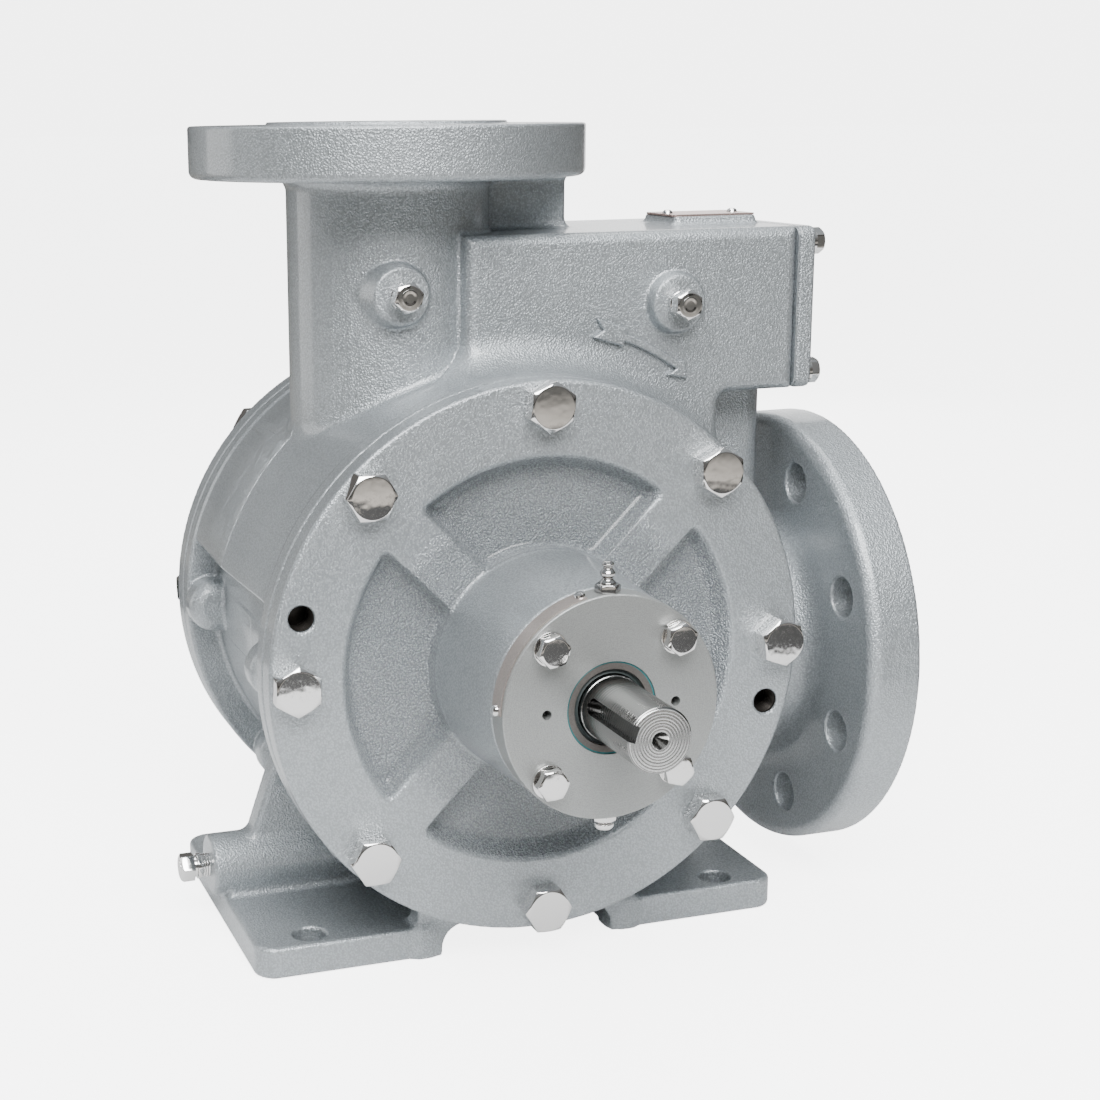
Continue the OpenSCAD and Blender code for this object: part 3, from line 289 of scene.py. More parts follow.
def slab(axis: Axis, low: Sequence[float], high: Sequence[float], corner: float, edge: float = 0.0) -> Form:
    """A box whose four edges along one axis have one radius, and whose edges round its two ends another.

    Args:
        axis: The row axis of the four edges.
        low: Its lowest corner.
        high: Its highest corner.
        corner: Radius of the four edges.
        edge: Radius of the edges round the ends. It is no more than the other radius.

    Returns:
        The box.
    """
    k, flat = axis.value, list(OTHERS[axis.value])
    bottom, top = np.asarray(low, float), np.asarray(high, float)
    middle, half = (bottom + top) / 2, (top - bottom) / 2

    def distance(points: Array) -> Array:
        past = np.abs(points - middle) - half
        plan = past[:, flat] + corner
        outside = np.linalg.norm(np.maximum(plan, 0), axis=1)
        radial = np.minimum(plan.max(1), 0) + outside - corner
        return rounded(radial + edge, past[:, k] + edge, edge)

    return Form(distance, bottom, top)


def prism(axis: Axis, outline: Sequence[Sequence[float]], low: float, high: float, edge: float = 0.0) -> Form:
    """A polygon carried along a row axis.

    The distance in its plane is that of the nearest side. A point is inside where a line to it crosses an odd
    number of sides.

    Args:
        axis: The row axis that it is carried along.
        outline: Its corners in the two other coordinates, in X, Y, Z order.
        low: Where it starts.
        high: Where it ends.
        edge: Radius of all its edges, taken off its outline.

    Returns:
        The prism.
    """
    k, (i, j) = axis.value, OTHERS[axis.value]
    corners = np.asarray(outline, float)
    ends = np.roll(corners, -1, axis=0)
    middle, half = (low + high) / 2, (high - low) / 2

    def distance(points: Array) -> Array:
        flat = points[:, [i, j]]
        nearest = np.full(len(points), np.inf)
        inside = np.zeros(len(points), bool)
        for a, b in zip(corners, ends):
            side, away = b - a, flat - a
            share = np.clip(away @ side / (side @ side), 0, 1)
            nearest = np.minimum(nearest, np.linalg.norm(away - share[:, None] * side, axis=1))
            spans = (a[1] > flat[:, 1]) != (b[1] > flat[:, 1])
            turn = side[0] * away[:, 1] - side[1] * away[:, 0]
            inside ^= spans & ((turn > 0) == (b[1] > a[1]))
        radial = np.where(inside, -nearest, nearest)
        return rounded(radial + edge, np.abs(points[:, k] - middle) - half + edge, edge)

    bottom, top = np.zeros(3), np.zeros(3)
    bottom[[k, i, j]] = low, *corners.min(0)
    top[[k, i, j]] = high, *corners.max(0)
    return Form(distance, bottom, top)


@dataclass
class Skin:
    """A mesh as arrays: vertices in millimetres, faces of three or four corners, and a normal for each vertex."""

    vertices: Array
    faces: Array
    normals: Array | None = None
    masks: dict[str, Array] = field(default_factory=dict)


@dataclass(frozen=True)
class Mesher:
    """Turns a form into a skin of quads by surface nets.

    Space is cut into small cubes. Each cube that the skin passes through gets one vertex, at the mean of the
    places where the skin crosses its edges, which is then drawn onto the skin along the form's slope. Each
    cube edge that the skin crosses gives one quad, between the four cubes round that edge.
    """

    step: float
    cells: int = 8
    probe: float = 0.12
    batch: int = 60
    draws: int = 2
    points_at_once: int = 6000
    blocks_at_once: int = 64
    cluster: int = 4

    def slope(self, form: Form, points: Array) -> Array:
        """Direction in which the distance grows, from four probes at the corners of a small tetrahedron."""
        corners = np.array([[1, -1, -1], [-1, -1, 1], [-1, 1, -1], [1, 1, 1]], float)
        total = np.zeros_like(points)
        for corner in corners:
            total += corner * form.at(points + corner * self.probe)[:, None]
        return total / np.maximum(np.linalg.norm(total, axis=1, keepdims=True), 1e-9)

    def settle(self, form: Form, points: Array) -> tuple[Array, Array]:
        """Draws points onto the form's skin and gives its normals there.

        Args:
            form: The form.
            points: Points close to its skin.

        Returns:
            The points on the skin, and the normals.
        """
        def draw(here: Array) -> tuple[Array, Array]:
            here = here.copy()
            for _ in range(self.draws):
                away = np.clip(form.at(here), -self.step, self.step)
                here -= away[:, None] * self.slope(form, here)
            return here, self.slope(form, here)

        found = side_by_side(draw, np.array_split(points, len(points) // self.points_at_once + 1))
        return np.vstack([f[0] for f in found]), np.vstack([f[1] for f in found])

    def near_blocks(self, form: Form) -> tuple[Array, Array]:
        """Blocks of cubes that the skin may pass through.

        Args:
            form: The form.

        Returns:
            The corner that the counting starts from, and the blocks' places as whole numbers.
        """
        size = self.step * self.cells
        origin = form.low - size
        count = np.ceil((form.high - origin + size) / size).astype(int)
        places = np.stack(np.meshgrid(*[np.arange(n) for n in count], indexing="ij"), -1).reshape(-1, 3)
        places = places[np.lexsort((places // self.cluster).T)]
        reach = 1.2 * math.sqrt(3) / 2 * size + self.step

        def near(some: Array) -> Array:
            return some[np.abs(form.at(origin + (some + 0.5) * size)) < reach]

        parts = np.array_split(places, len(places) // self.blocks_at_once + 1)
        return origin, np.vstack(side_by_side(near, parts))

    def net(self, form: Form, origin: Array, blocks: Array) -> tuple[Array, Array, Array]:
        """The net's piece within some blocks.

        Args:
            form: The form.
            origin: The corner that the counting starts from.
            blocks: The blocks' places.

        Returns:
            The crossed cubes' numbers, a point for each, and rings of four cubes' numbers.
        """
        n = self.cells
        corner = np.stack(np.meshgrid(*[np.arange(n + 1)] * 3, indexing="ij"), -1)
        offsets = np.array([[i, j, k] for i in (0, 1) for j in (0, 1) for k in (0, 1)])
        edges = [(a, b) for a in range(8) for b in range(8) if a < b and np.abs(offsets[a] - offsets[b]).sum() == 1]
        count = np.array([1 << 40, 1 << 20, 1])
        grid = blocks[:, None, None, None, :] * n + corner
        values = form.at(origin + grid.reshape(-1, 3) * self.step).reshape(grid.shape[:-1])
        inside = values < 0
        filled = sum(inside[:, i : n + i, j : n + j, k : n + k].astype(np.int8) for i, j, k in offsets)
        b, i, j, k = np.nonzero((filled > 0) & (filled < 8))
        place = grid[b, i, j, k]
        level = np.stack([values[b, i + o[0], j + o[1], k + o[2]] for o in offsets], -1)
        total, hits = np.zeros((len(b), 3)), np.zeros(len(b))
        for one, two in edges:
            crossed = (level[:, one] < 0) != (level[:, two] < 0)
            gap = np.where(crossed, level[:, one] - level[:, two], 1)
            share = np.where(crossed, level[:, one] / gap, 0)[:, None]
            total += crossed[:, None] * (offsets[one] + share * (offsets[two] - offsets[one]))
            hits += crossed
        points = origin + (place + total / hits[:, None]) * self.step
        rings = []
        for axis in range(3):
            ahead = [slice(None), slice(0, n), slice(0, n), slice(0, n)]
            beyond = list(ahead)
            beyond[axis + 1] = slice(1, n + 1)
            starts, ends = inside[tuple(ahead)], inside[tuple(beyond)]
            b, i, j, k = np.nonzero(starts != ends)
            here = grid[b, i, j, k]
            u, v = np.eye(3, dtype=int)[(axis + 1) % 3], np.eye(3, dtype=int)[(axis + 2) % 3]
            ring = np.stack([here - u - v, here - v, here, here - u], 1)
            backwards = ~starts[b, i, j, k]
            ring[backwards] = ring[backwards][:, ::-1]
            rings.append(ring @ count)
        return place @ count, points, np.vstack(rings)

    def skin(self, form: Form) -> Skin:
        """The form's skin.

        Args:
            form: The form.

        Returns:
            Vertices, quads that face outwards, and normals.
        """
        origin, blocks = self.near_blocks(form)
        parts = np.array_split(blocks, len(blocks) // self.batch + 1)
        nets = side_by_side(lambda some: self.net(form, origin, some), parts)
        ids, points, rings = (np.concatenate([net[i] for net in nets]) for i in range(3))
        order = np.argsort(ids)
        where = np.clip(np.searchsorted(ids[order], rings), 0, len(ids) - 1)
        found = (ids[order][where] == rings).all(1)
        vertices, normals = self.settle(form, points)
        return Skin(vertices, order[where[found]], normals)


def bend_corners(path: Array, radius: float, steps: int = 4, closed: bool = False) -> Array:
    """A path with each corner replaced by a parabola that starts and ends a radius away from it.

    Args:
        path: Points along the second last axis, of any number of coordinates.
        radius: How far from the corner the bend starts. It is at most a little under half of a side.
        steps: Pieces in each bend.
        closed: Whether the last point leads back to the first.

    Returns:
        The new path, as an array with more points.
    """
    before, after = np.roll(path, 1, axis=-2), np.roll(path, -1, axis=-2)

    def towards(other: Array) -> Array:
        gap = other - path
        size = np.linalg.norm(gap, axis=-1, keepdims=True)
        return path + gap * np.minimum(radius / np.maximum(size, 1e-9), 0.48)

    first, last = towards(before), towards(after)
    share = np.linspace(0, 1, steps + 1).reshape(-1, 1)
    bends = (
        first[..., None, :] * (1 - share) ** 2
        + 2 * path[..., None, :] * share * (1 - share)
        + last[..., None, :] * share**2
    )
    if closed:
        return bends.reshape(*path.shape[:-2], -1, path.shape[-1])
    inner = bends[..., 1:-1, :, :].reshape(*path.shape[:-2], -1, path.shape[-1])
    return np.concatenate([path[..., :1, :], inner, path[..., -1:, :]], axis=-2)


def grid_faces(rows: int, columns: int) -> Array:
    """Quads of a grid whose rows are closed rings and whose columns are open.

    Args:
        rows: Number of rings.
        columns: Points in each ring.

    Returns:
        One line of four corners for each quad.
    """
    i, j = np.meshgrid(np.arange(rows - 1), np.arange(columns), indexing="ij")
    a, b = i * columns + j, i * columns + (j + 1) % columns
    return np.stack([a, b, b + columns, a + columns], -1).reshape(-1, 4)


def turned(profile: Sequence[Sequence[float]], edge: float = 0.3, segments: int = 72) -> Skin:
    """A surface of revolution: the profile's radius and height, carried round the local z axis.

    Args:
        profile: Pairs of radius and height, from the foot on the outside up to the top.
        edge: Radius of the bends at its corners.
        segments: Points round the axis.

    Returns:
        The skin, on the local z axis.
    """
    path = bend_corners(np.asarray(profile, float), edge, 3)
    angle = np.linspace(0, 2 * math.pi, segments, endpoint=False)
    x = path[:, :1] * np.cos(angle)
    y = path[:, :1] * np.sin(angle)
    z = np.broadcast_to(path[:, 1:], x.shape)
    return Skin(np.stack([x, y, z], -1).reshape(-1, 3), grid_faces(len(path), segments))


def placed(skin: Skin, axis: Sequence[float], at: Sequence[float], turn: float = 0.0) -> Skin:
    """A skin stood up along an axis: turned about its own z axis, its z laid along the axis, then moved.

    Args:
        skin: The skin, on the local z axis.
        axis: Direction that its z takes.
        at: Where its origin goes, in millimetres.
        turn: Degrees that it is turned about its own axis first.

    Returns:
        The placed skin.
    """
    z = np.asarray(axis, float) / np.linalg.norm(axis)
    helper = np.array([0.0, 0.0, 1.0]) if abs(z[2]) < 0.9 else np.array([1.0, 0.0, 0.0])
    x = np.cross(helper, z)
    x /= np.linalg.norm(x)
    y = np.cross(z, x)
    c, s = math.cos(math.radians(turn)), math.sin(math.radians(turn))
    turned_points = skin.vertices @ np.array([[c, s, 0], [-s, c, 0], [0, 0, 1]])
    return Skin(turned_points @ np.stack([x, y, z]) + np.asarray(at, float), skin.faces)


def gathered(skins: Sequence[Skin]) -> Skin:
    """Several skins of quads as one."""
    starts = np.cumsum([0] + [len(s.vertices) for s in skins[:-1]])
    return Skin(
        np.vstack([s.vertices for s in skins]),
        np.vstack([s.faces + start for s, start in zip(skins, starts)]),
    )


def raised(skin: Skin, height: float) -> Skin:
    """The skin moved up its local z axis."""
    return Skin(skin.vertices + [0, 0, height], skin.faces)


def mesher_of(fine: float) -> Mesher:
    return Mesher(fine)


def mirrored(skin: Skin) -> Skin:
    """The skin's mirror image across the middle plane y = 0, its faces turned to point outwards again."""
    flip = np.array([1.0, -1.0, 1.0])
    normals = None if skin.normals is None else skin.normals * flip
    return Skin(skin.vertices * flip, skin.faces[:, ::-1], normals, skin.masks)


class Piece:
    """A finished mesh piece: its object, what it stands for, and what it rides on."""

    def __init__(self, name: str, skin: Skin, sharp: float | None = None) -> None:
        """Makes the mesh and its object.

        Args:
            name: The piece's name.
            skin: Its surface in millimetres.
            sharp: Degrees between faces from which an edge is kept sharp, or None for the skin's own normals.
        """
        mesh = bpy.data.meshes.new(name)
        count, sides = skin.faces.shape
        mesh.vertices.add(len(skin.vertices))
        mesh.vertices.foreach_set("co", (skin.vertices * MM).astype(np.float32).ravel())
        mesh.loops.add(count * sides)
        mesh.loops.foreach_set("vertex_index", skin.faces.astype(np.int32).ravel())
        mesh.polygons.add(count)
        mesh.polygons.foreach_set("loop_start", np.arange(0, count * sides, sides, dtype=np.int32))
        mesh.polygons.foreach_set("use_smooth", np.ones(count, bool))
        for mask, values in skin.masks.items():
            mesh.attributes.new(mask, "FLOAT", "POINT").data.foreach_set("value", values.astype(np.float32))
        mesh.update(calc_edges=True)
        mesh.validate()
        if skin.normals is not None and sharp is None:
            mesh.normals_split_custom_set_from_vertices(skin.normals.tolist())
        self.object = bpy.data.objects.new(name, mesh)
        bpy.context.scene.collection.objects.link(self.object)
        if sharp is not None:
            self.close_seams(sharp)

    def close_seams(self, sharp: float) -> None:
        """Merges the points that lie in one place, and marks the edges that stay sharp.

        Args:
            sharp: Degrees between faces from which an edge is kept sharp.
        """
        mesh = self.object.data
        shape = bmesh.new()
        shape.from_mesh(mesh)
        bmesh.ops.remove_doubles(shape, verts=shape.verts, dist=1e-6)
        bmesh.ops.dissolve_degenerate(shape, edges=shape.edges, dist=1e-7)
        bmesh.ops.recalc_face_normals(shape, faces=shape.faces)
        shape.to_mesh(mesh)
        shape.free()
        mesh.shade_smooth()
        mesh.set_sharp_from_angle(angle=math.radians(sharp))

    def dress(self, material: bpy.types.Material, body: str, stands_for: Sequence[str] = ()) -> "Piece":
        """Gives the piece its material and the body that it rides on, and hides the CAD nodes that it stands for.

        Args:
            material: Its finish.
            body: The CAD body that it moves with.
            stands_for: The CAD nodes that it replaces.

        Returns:
            The piece itself.
        """
        self.object.data.materials.clear()
        self.object.data.materials.append(material)
        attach(self.object, body)
        if stands_for:
            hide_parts(*stands_for)
        triangles = sum(len(p.vertices) - 2 for p in self.object.data.polygons)
        LOG.info("%s: %d triangles", self.object.name, triangles)
        return self


def thinned(name: str, skin: Skin, form: Form, mesher: Mesher) -> Skin:
    """A skin with fewer triangles: its flat places are collapsed, and its points are drawn onto the form again.

    Args:
        name: Name of the scratch mesh.
        skin: The full skin.
        form: The form that it came from.
        mesher: The mesher that made it.

    Returns:
        The thinner skin, in triangles.
    """
    scratch = Piece(name + "_full", Skin(skin.vertices, skin.faces)).object
    modifier = scratch.modifiers.new("thin", "DECIMATE")
    modifier.ratio = min(1.0, MOST_TRIANGLES / (2 * len(skin.faces)))
    modifier.use_collapse_triangulate = True
    graph = bpy.context.evaluated_depsgraph_get()
    mesh = bpy.data.meshes.new_from_object(scratch.evaluated_get(graph))
    points = np.zeros(len(mesh.vertices) * 3, np.float32)
    mesh.vertices.foreach_get("co", points)
    faces = np.zeros(len(mesh.loops), np.int32)
    mesh.loops.foreach_get("vertex_index", faces)
    bpy.data.objects.remove(scratch)
    bpy.data.meshes.remove(mesh)
    vertices, normals = mesher.settle(form, points.reshape(-1, 3).astype(float) / MM)
    return Skin(vertices, faces.reshape(-1, 3), normals)


@dataclass(frozen=True)
class HeadCasting:
    """A pump head: bolted rim, four cast pockets between diagonal ribs, and a tapered bearing hub.

    Sizes are in millimetres. Stations are distances from the middle plane towards the drive end. Each bore is a
    radius and the two stations that it runs between.
    """

    joint: float = 93.0
    face: float = 108.0
    hub_end: float = 177.0
    spigot_end: float = 62.0
    rim_r: float = 146.0
    spigot_r: float = 111.95
    pocket_r: float = 107.5
    pocket_foot_r: float = 101.5
    pocket_depth: float = 11.0
    pocket_round: float = 3.5
    rib_half: float = 12.8
    hub_foot_r: float = 60.2
    hub_end_r: float = 55.5
    bolt_hole: float = 8.44
    jack_hole: float = 6.6
    rib_angles: tuple[float, float] = (45.0, 135.0)
    rib_lean: float = 0.38
    bores: tuple[tuple[float, float, float], ...] = (
        (36, 60, 139.5), (32.05, 139, 147.5), (25, 147, 152.5), (40.05, 152, 179),
    )

    def pockets(self) -> Form:
        """The recess round the hub, less the four ribs."""
        floor = self.face - self.pocket_depth
        recess = cone(Axis.Y, (0, SHAFT_Z), self.pocket_r + 0.6, self.pocket_foot_r, -self.face - 1.2, -floor, 2.2)
        for angle in self.rib_angles:
            side = np.array([-math.sin(math.radians(angle)), math.cos(math.radians(angle))])
            recess = recess.cut(Rib(side, self.rib_half, self.face, self.rib_lean).form(), self.pocket_round)
        return recess

    def drilled(self, radius: float, angles: Sequence[float]) -> Form:
        """Holes through the rim, on the bolt circle."""
        return weld([rod(Axis.Y, on_circle(BOLT_CIRCLE, a), radius, -120, -80) for a in angles], [])

    def form(self) -> Form:
        """The whole casting at the drive end."""
        centre = (0.0, SHAFT_Z)
        rim = rod(Axis.Y, centre, self.rim_r, -self.face, -self.joint, 2.0)
        spigot = rod(Axis.Y, centre, self.spigot_r, -self.joint - 2, -self.spigot_end, 1.2)
        disc = rim.join(spigot).cut(self.pockets(), 1.6)
        hub = cone(Axis.Y, centre, self.hub_end_r, self.hub_foot_r, -self.hub_end, -self.face + 13, 1.5)
        casting = disc.join(hub, 3.0)
        for radius, low, high in self.bores:
            casting = casting.cut(rod(Axis.Y, centre, radius, -high, -low), 0.8)
        casting = casting.cut(self.drilled(self.bolt_hole, range(0, 360, 45)), 0.8)
        return casting.cut(self.drilled(self.jack_hole, JACK_ANGLES), 1.2)

    def skin(self, mesher: Mesher) -> Skin:
        """The casting's skin with its mask "sand", which is 1 on the pockets' floors and walls."""
        skin = mesher.skin(self.form())
        away = np.hypot(skin.vertices[:, 0], skin.vertices[:, 2] - SHAFT_Z)
        depth = self.face + skin.vertices[:, 1]
        inside = smooth_step(away, self.hub_foot_r - 3, self.hub_foot_r + 2) * smooth_step(-away, -113, -107)
        ribs = 0.75 * smooth_step(-away, -96, -80) * smooth_step(depth, -1.0, -0.5)
        skin.masks["sand"] = np.maximum(smooth_step(depth, 0.6, 3.0), ribs) * inside + 0.08
        return skin


@dataclass(frozen=True)
class Rib:
    """A rib through the shaft axis with leaning sides, told by the direction across it."""

    side: Array
    half: float
    face: float
    lean: float

    def form(self) -> Form:
        """The rib, endless along its length and open towards the front."""
        slope = math.hypot(1, self.lean)

        def distance(points: Array) -> Array:
            across = np.abs(points[:, 0] * self.side[0] + (points[:, 2] - SHAFT_Z) * self.side[1])
            return (across - self.half - self.lean * np.maximum(self.face + points[:, 1], 0)) / slope

        return Form(distance, np.array([-300.0, -300.0, -300.0]), np.array([300.0, 300.0, 600.0]))


@dataclass(frozen=True)
class CaseCasting:
    """The pump case: barrel, volute, both flanged ports, the relief valve's chest and the feet, in millimetres."""

    half: float = 93.0
    flange_back: float = 81.0
    bore: float = 112.0
    barrel: float = 128.5
    flange: float = 146.0
    volute: float = 149.0
    volute_side: float = 145.0
    volute_span: tuple[float, float] = (10.0, 165.5)
    boss: float = 15.0
    boss_end: float = 59.0
    boss_angles: tuple[float, ...] = (0.0, 180.0, 225.0, 270.0, 315.0)
    outlet_x: float = -47.5
    outlet_neck: float = 54.0
    outlet_flange: float = 104.8
    outlet_under: float = 407.4
    outlet_top: float = 434.4
    outlet_raised: float = 63.5
    outlet_face: float = 436.0
    outlet_bore: float = 38.0
    outlet_bolts: float = 84.15
    inlet_z: float = 140.4
    inlet_neck: float = 61.0
    inlet_flange: float = 127.0
    inlet_back: float = 181.8
    inlet_rim: float = 212.0
    inlet_raised: float = 78.6
    inlet_face: float = 213.6
    inlet_bore: float = 51.0
    inlet_bolts: float = 100.1
    pipe_bolt: float = 11.1
    chest_x: tuple[float, float, float] = (-24.0, 122.5, 167.5)
    chest_half: float = 58.0
    chest_z: tuple[float, float, float] = (241.0, 290.3, 378.3)
    chest_edge: float = 6.0
    chest_corner: float = 7.0
    duct: tuple[float, float, float] = (109.5, 165.5, 30.0)
    duct_bore: tuple[float, float] = (144.0, 17.0)
    web_end: float = 52.0
    web_half: float = 8.0
    foot: tuple[float, float, float] = (150.5, 49.0, 88.5)
    foot_top: float = 17.4
    foot_holes: tuple[float, float, float] = (119.0, 74.5, 8.75)
    leg_half: float = 8.0
    arch_top: float = 17.0
    drain: tuple[float, float, float] = (33.0, 17.0, -156.0)
    pad: tuple[float, float, float, float] = (113.0, 161.0, 19.0, 382.9)
    gauges: tuple[tuple[float, float, float, float], ...] = (
        (-59.5, 349.5, 54.0, 61.0), (93.7, 340.4, 58.0, 65.5),
    )

    def barrel_form(self) -> Form:
        """The barrel with its end flanges and the bolt bosses behind them."""
        centre = (0.0, SHAFT_Z)
        barrel = rod(Axis.Y, centre, self.barrel, -self.flange_back - 2, 0)
        flange = rod(Axis.Y, centre, self.flange, -self.half, -self.flange_back, 1.8)
        bosses = [
            rod(Axis.Y, on_circle(BOLT_CIRCLE, angle), self.boss, -self.flange_back - 2, -self.boss_end, 8.0)
            for angle in self.boss_angles
        ]
        return barrel.join(flange, 3.0).join(weld(bosses, []), 2.5).folded(Axis.Y)

    def wedge(self, first: float, last: float, radius: float) -> Form:
        """A sector round the shaft between two angles, as long as the case."""
        angles = np.radians(np.linspace(first, last, 5))
        outline = [(0.0, SHAFT_Z)] + [(radius * math.cos(a), SHAFT_Z + radius * math.sin(a)) for a in angles]
        return prism(Axis.Y, outline, -self.flange_back - 2, self.flange_back + 2)

    def volute_form(self) -> Form:
        """The part filled out round the outlet passage, a little higher along the mould's joint than at the flanges.
        """
        half = cone(Axis.Y, (0, SHAFT_Z), self.volute_side, self.volute, -self.flange_back - 2, 0).folded(Axis.Y)
        return half.keep(self.wedge(*self.volute_span, 300.0), 2.0)

    def outlet_form(self) -> Form:
        """The outlet neck with its flange and raised face."""
        centre = (self.outlet_x, 0.0)
        neck = rod(Axis.Z, centre, self.outlet_neck, 250, self.outlet_under + 2)
        flange = rod(Axis.Z, centre, self.outlet_flange, self.outlet_under, self.outlet_top + 4, 4.0)
        flange = flange.cut(slab(Axis.Z, (-400, -400, self.outlet_top), (400, 400, 900), 0), 1.6)
        raised = rod(Axis.Z, centre, self.outlet_raised, self.outlet_top - 4, self.outlet_face, 0.8)
        return neck.join(flange, 7.5).join(raised, 0.8)

    def inlet_form(self) -> Form:
        """The inlet neck with its flange and raised face."""
        centre = (0.0, self.inlet_z)
        neck = rod(Axis.X, centre, self.inlet_neck, 90, self.inlet_back + 2)
        flange = rod(Axis.X, centre, self.inlet_flange, self.inlet_back, self.inlet_rim + 7, 7.0)
        flange = flange.cut(slab(Axis.X, (self.inlet_rim, -400, -400), (900, 400, 900), 0), 1.8)
        raised = rod(Axis.X, centre, self.inlet_raised, self.inlet_rim - 6, self.inlet_face, 0.8)
        return neck.join(flange, 17.0).join(raised, 0.8)

    def chest_form(self) -> Form:
        """The relief valve's chest, its body down to the volute and the name plate's pad."""
        first, step, end = self.chest_x
        foot, bottom, top = self.chest_z
        r = self.chest_corner
        turn = np.radians(np.linspace(180, 90, 5))
        corner = [(step + r + r * math.cos(a), bottom - r + r * math.sin(a)) for a in turn]
        outline = [(first, foot), (step, foot), *corner, (end, bottom), (end, top), (first, top)]
        body = prism(Axis.Y, outline, -self.chest_half, self.chest_half, self.chest_edge)
        x0, x1, half, pad_top = self.pad
        pad = slab(Axis.Z, (x0 - 1, -half - 1, top - 5), (x1 + 1, half + 1, pad_top), 3.0, 1.5)
        return body.join(pad, 3.5)

    def feet_form(self) -> Form:
        """Both feet with their legs, the saddles that carry the end flanges, and the drain boss."""
        far, near, deep = self.foot
        w = self.leg_half
        plate = slab(Axis.Z, (-far, -deep, 0), (-near, deep, self.foot_top), 12.0, 2.5)
        leg = prism(Axis.Y, [(-57, 8), (-134, 8), (-134, 46), (-104, 134), (-20, 60), (-30, 36)], -w, w, 3.0)
        saddle = slab(Axis.Y, (-63, -88.5, 0), (0, -74, 40), 3.0, 2.0)
        arch = slab(Axis.Y, (-near, -120, -30), (near, 0, self.arch_top), 13.0)
        feet = weld([plate, leg, saddle.cut(arch, 1.5)], [(0, 1, 6.0), (0, 2, 5.0)]).folded(Axis.X)
        feet = feet.folded(Axis.Y)
        z, r, face = self.drain
        boss = rod(Axis.X, (0.0, z), r, face, -45, 2.0)
        web = slab(Axis.X, (-far + 3, -r + 2.5, 8), (-45, r - 2.5, z), 2.0, 2.0)
        return weld([feet, boss, web], [(0, 1, 4.0), (0, 2, 4.0), (1, 2, 1.5)])

    def gauge_form(self) -> Form:
        """The two conical bosses of the gauge ports."""
        return weld([
            cone(Axis.Y, (x, z), 15.0, 19.0, -face, -root + 12, 1.2) for x, z, root, face in self.gauges
        ], [])

    def solid_form(self) -> Form:
        """The whole outside, each meeting of two forms with its own fillet."""
        x0, x1, w = self.duct
        duct = slab(Axis.Z, (x0, -w, self.inlet_z), (x1, w, self.chest_z[1] + 8), 12.0)
        low = (self.outlet_x, -self.web_half, self.chest_z[2] - 30)
        high = (self.web_end, self.web_half, self.outlet_under + 4)
        web = slab(Axis.Y, low, high, 3.0, 2.0)
        parts = [
            self.barrel_form(), self.volute_form(), self.outlet_form(), self.chest_form(), self.inlet_form(),
            duct, web, self.feet_form(), self.gauge_form(),
        ]
        seams = [
            (0, 1, 2.0), (0, 2, 19.0), (1, 2, 4.0), (0, 3, 19.0), (1, 3, 19.0), (2, 3, 3.0), (0, 4, 12.0),
            (4, 5, 9.0), (3, 5, 3.0), (2, 6, 5.0), (3, 6, 5.0), (0, 7, 6.0), (2, 8, 1.5), (3, 8, 1.5),
        ]
        return weld(parts, seams)

    def passages(self) -> Form:
        """The bore, the two galleries and ports, the valve's chamber and the duct."""
        port_z = (self.chest_z[1] + self.chest_z[2]) / 2
        galleries = [
            rod(Axis.Y, (0, SHAFT_Z), self.bore + 20, -44, 44).keep(self.wedge(78, 146, 200.0)),
            rod(Axis.Y, (0, SHAFT_Z), self.bore + 8, -44, 44).keep(self.wedge(-52, 22, 200.0)),
        ]
        return weld([
            rod(Axis.Y, (0, SHAFT_Z), self.bore, -self.half - 5, self.half + 5), *galleries,
            rod(Axis.Z, (self.outlet_x, 0), self.outlet_bore, 242, 460),
            rod(Axis.X, (0, self.inlet_z), self.inlet_bore, 78, 240),
            rod(Axis.X, (0, port_z), 22.0, self.outlet_x, 25), rod(Axis.X, (0, port_z), 34.0, 24, 185),
            rod(Axis.Z, (self.duct_bore[0], 0), self.duct_bore[1], self.inlet_z, port_z),
        ], [])

    def holes(self) -> Form:
        """The bolt holes of both pipe flanges and of the feet."""
        found = []
        for angle in np.radians(np.arange(22.5, 360, 45)):
            c, s = math.cos(angle), math.sin(angle)
            place = (self.outlet_x + self.outlet_bolts * c, self.outlet_bolts * s)
            found.append(rod(Axis.Z, place, self.pipe_bolt, self.outlet_under - 12, self.outlet_top + 5))
            place = (self.inlet_bolts * s, self.inlet_z + self.inlet_bolts * c)
            found.append(rod(Axis.X, place, self.pipe_bolt, self.inlet_back - 15, self.inlet_rim + 5))
        x, y, r = self.foot_holes
        found += [rod(Axis.Z, (sx * x, sy * y), r, -9, 30) for sx in (-1, 1) for sy in (-1, 1)]
        return weld(found, [])

    def form(self) -> Form:
        """The casting with everything that is cut out of it."""
        return self.solid_form().cut(self.passages(), 1.8).cut(self.holes(), 1.3)

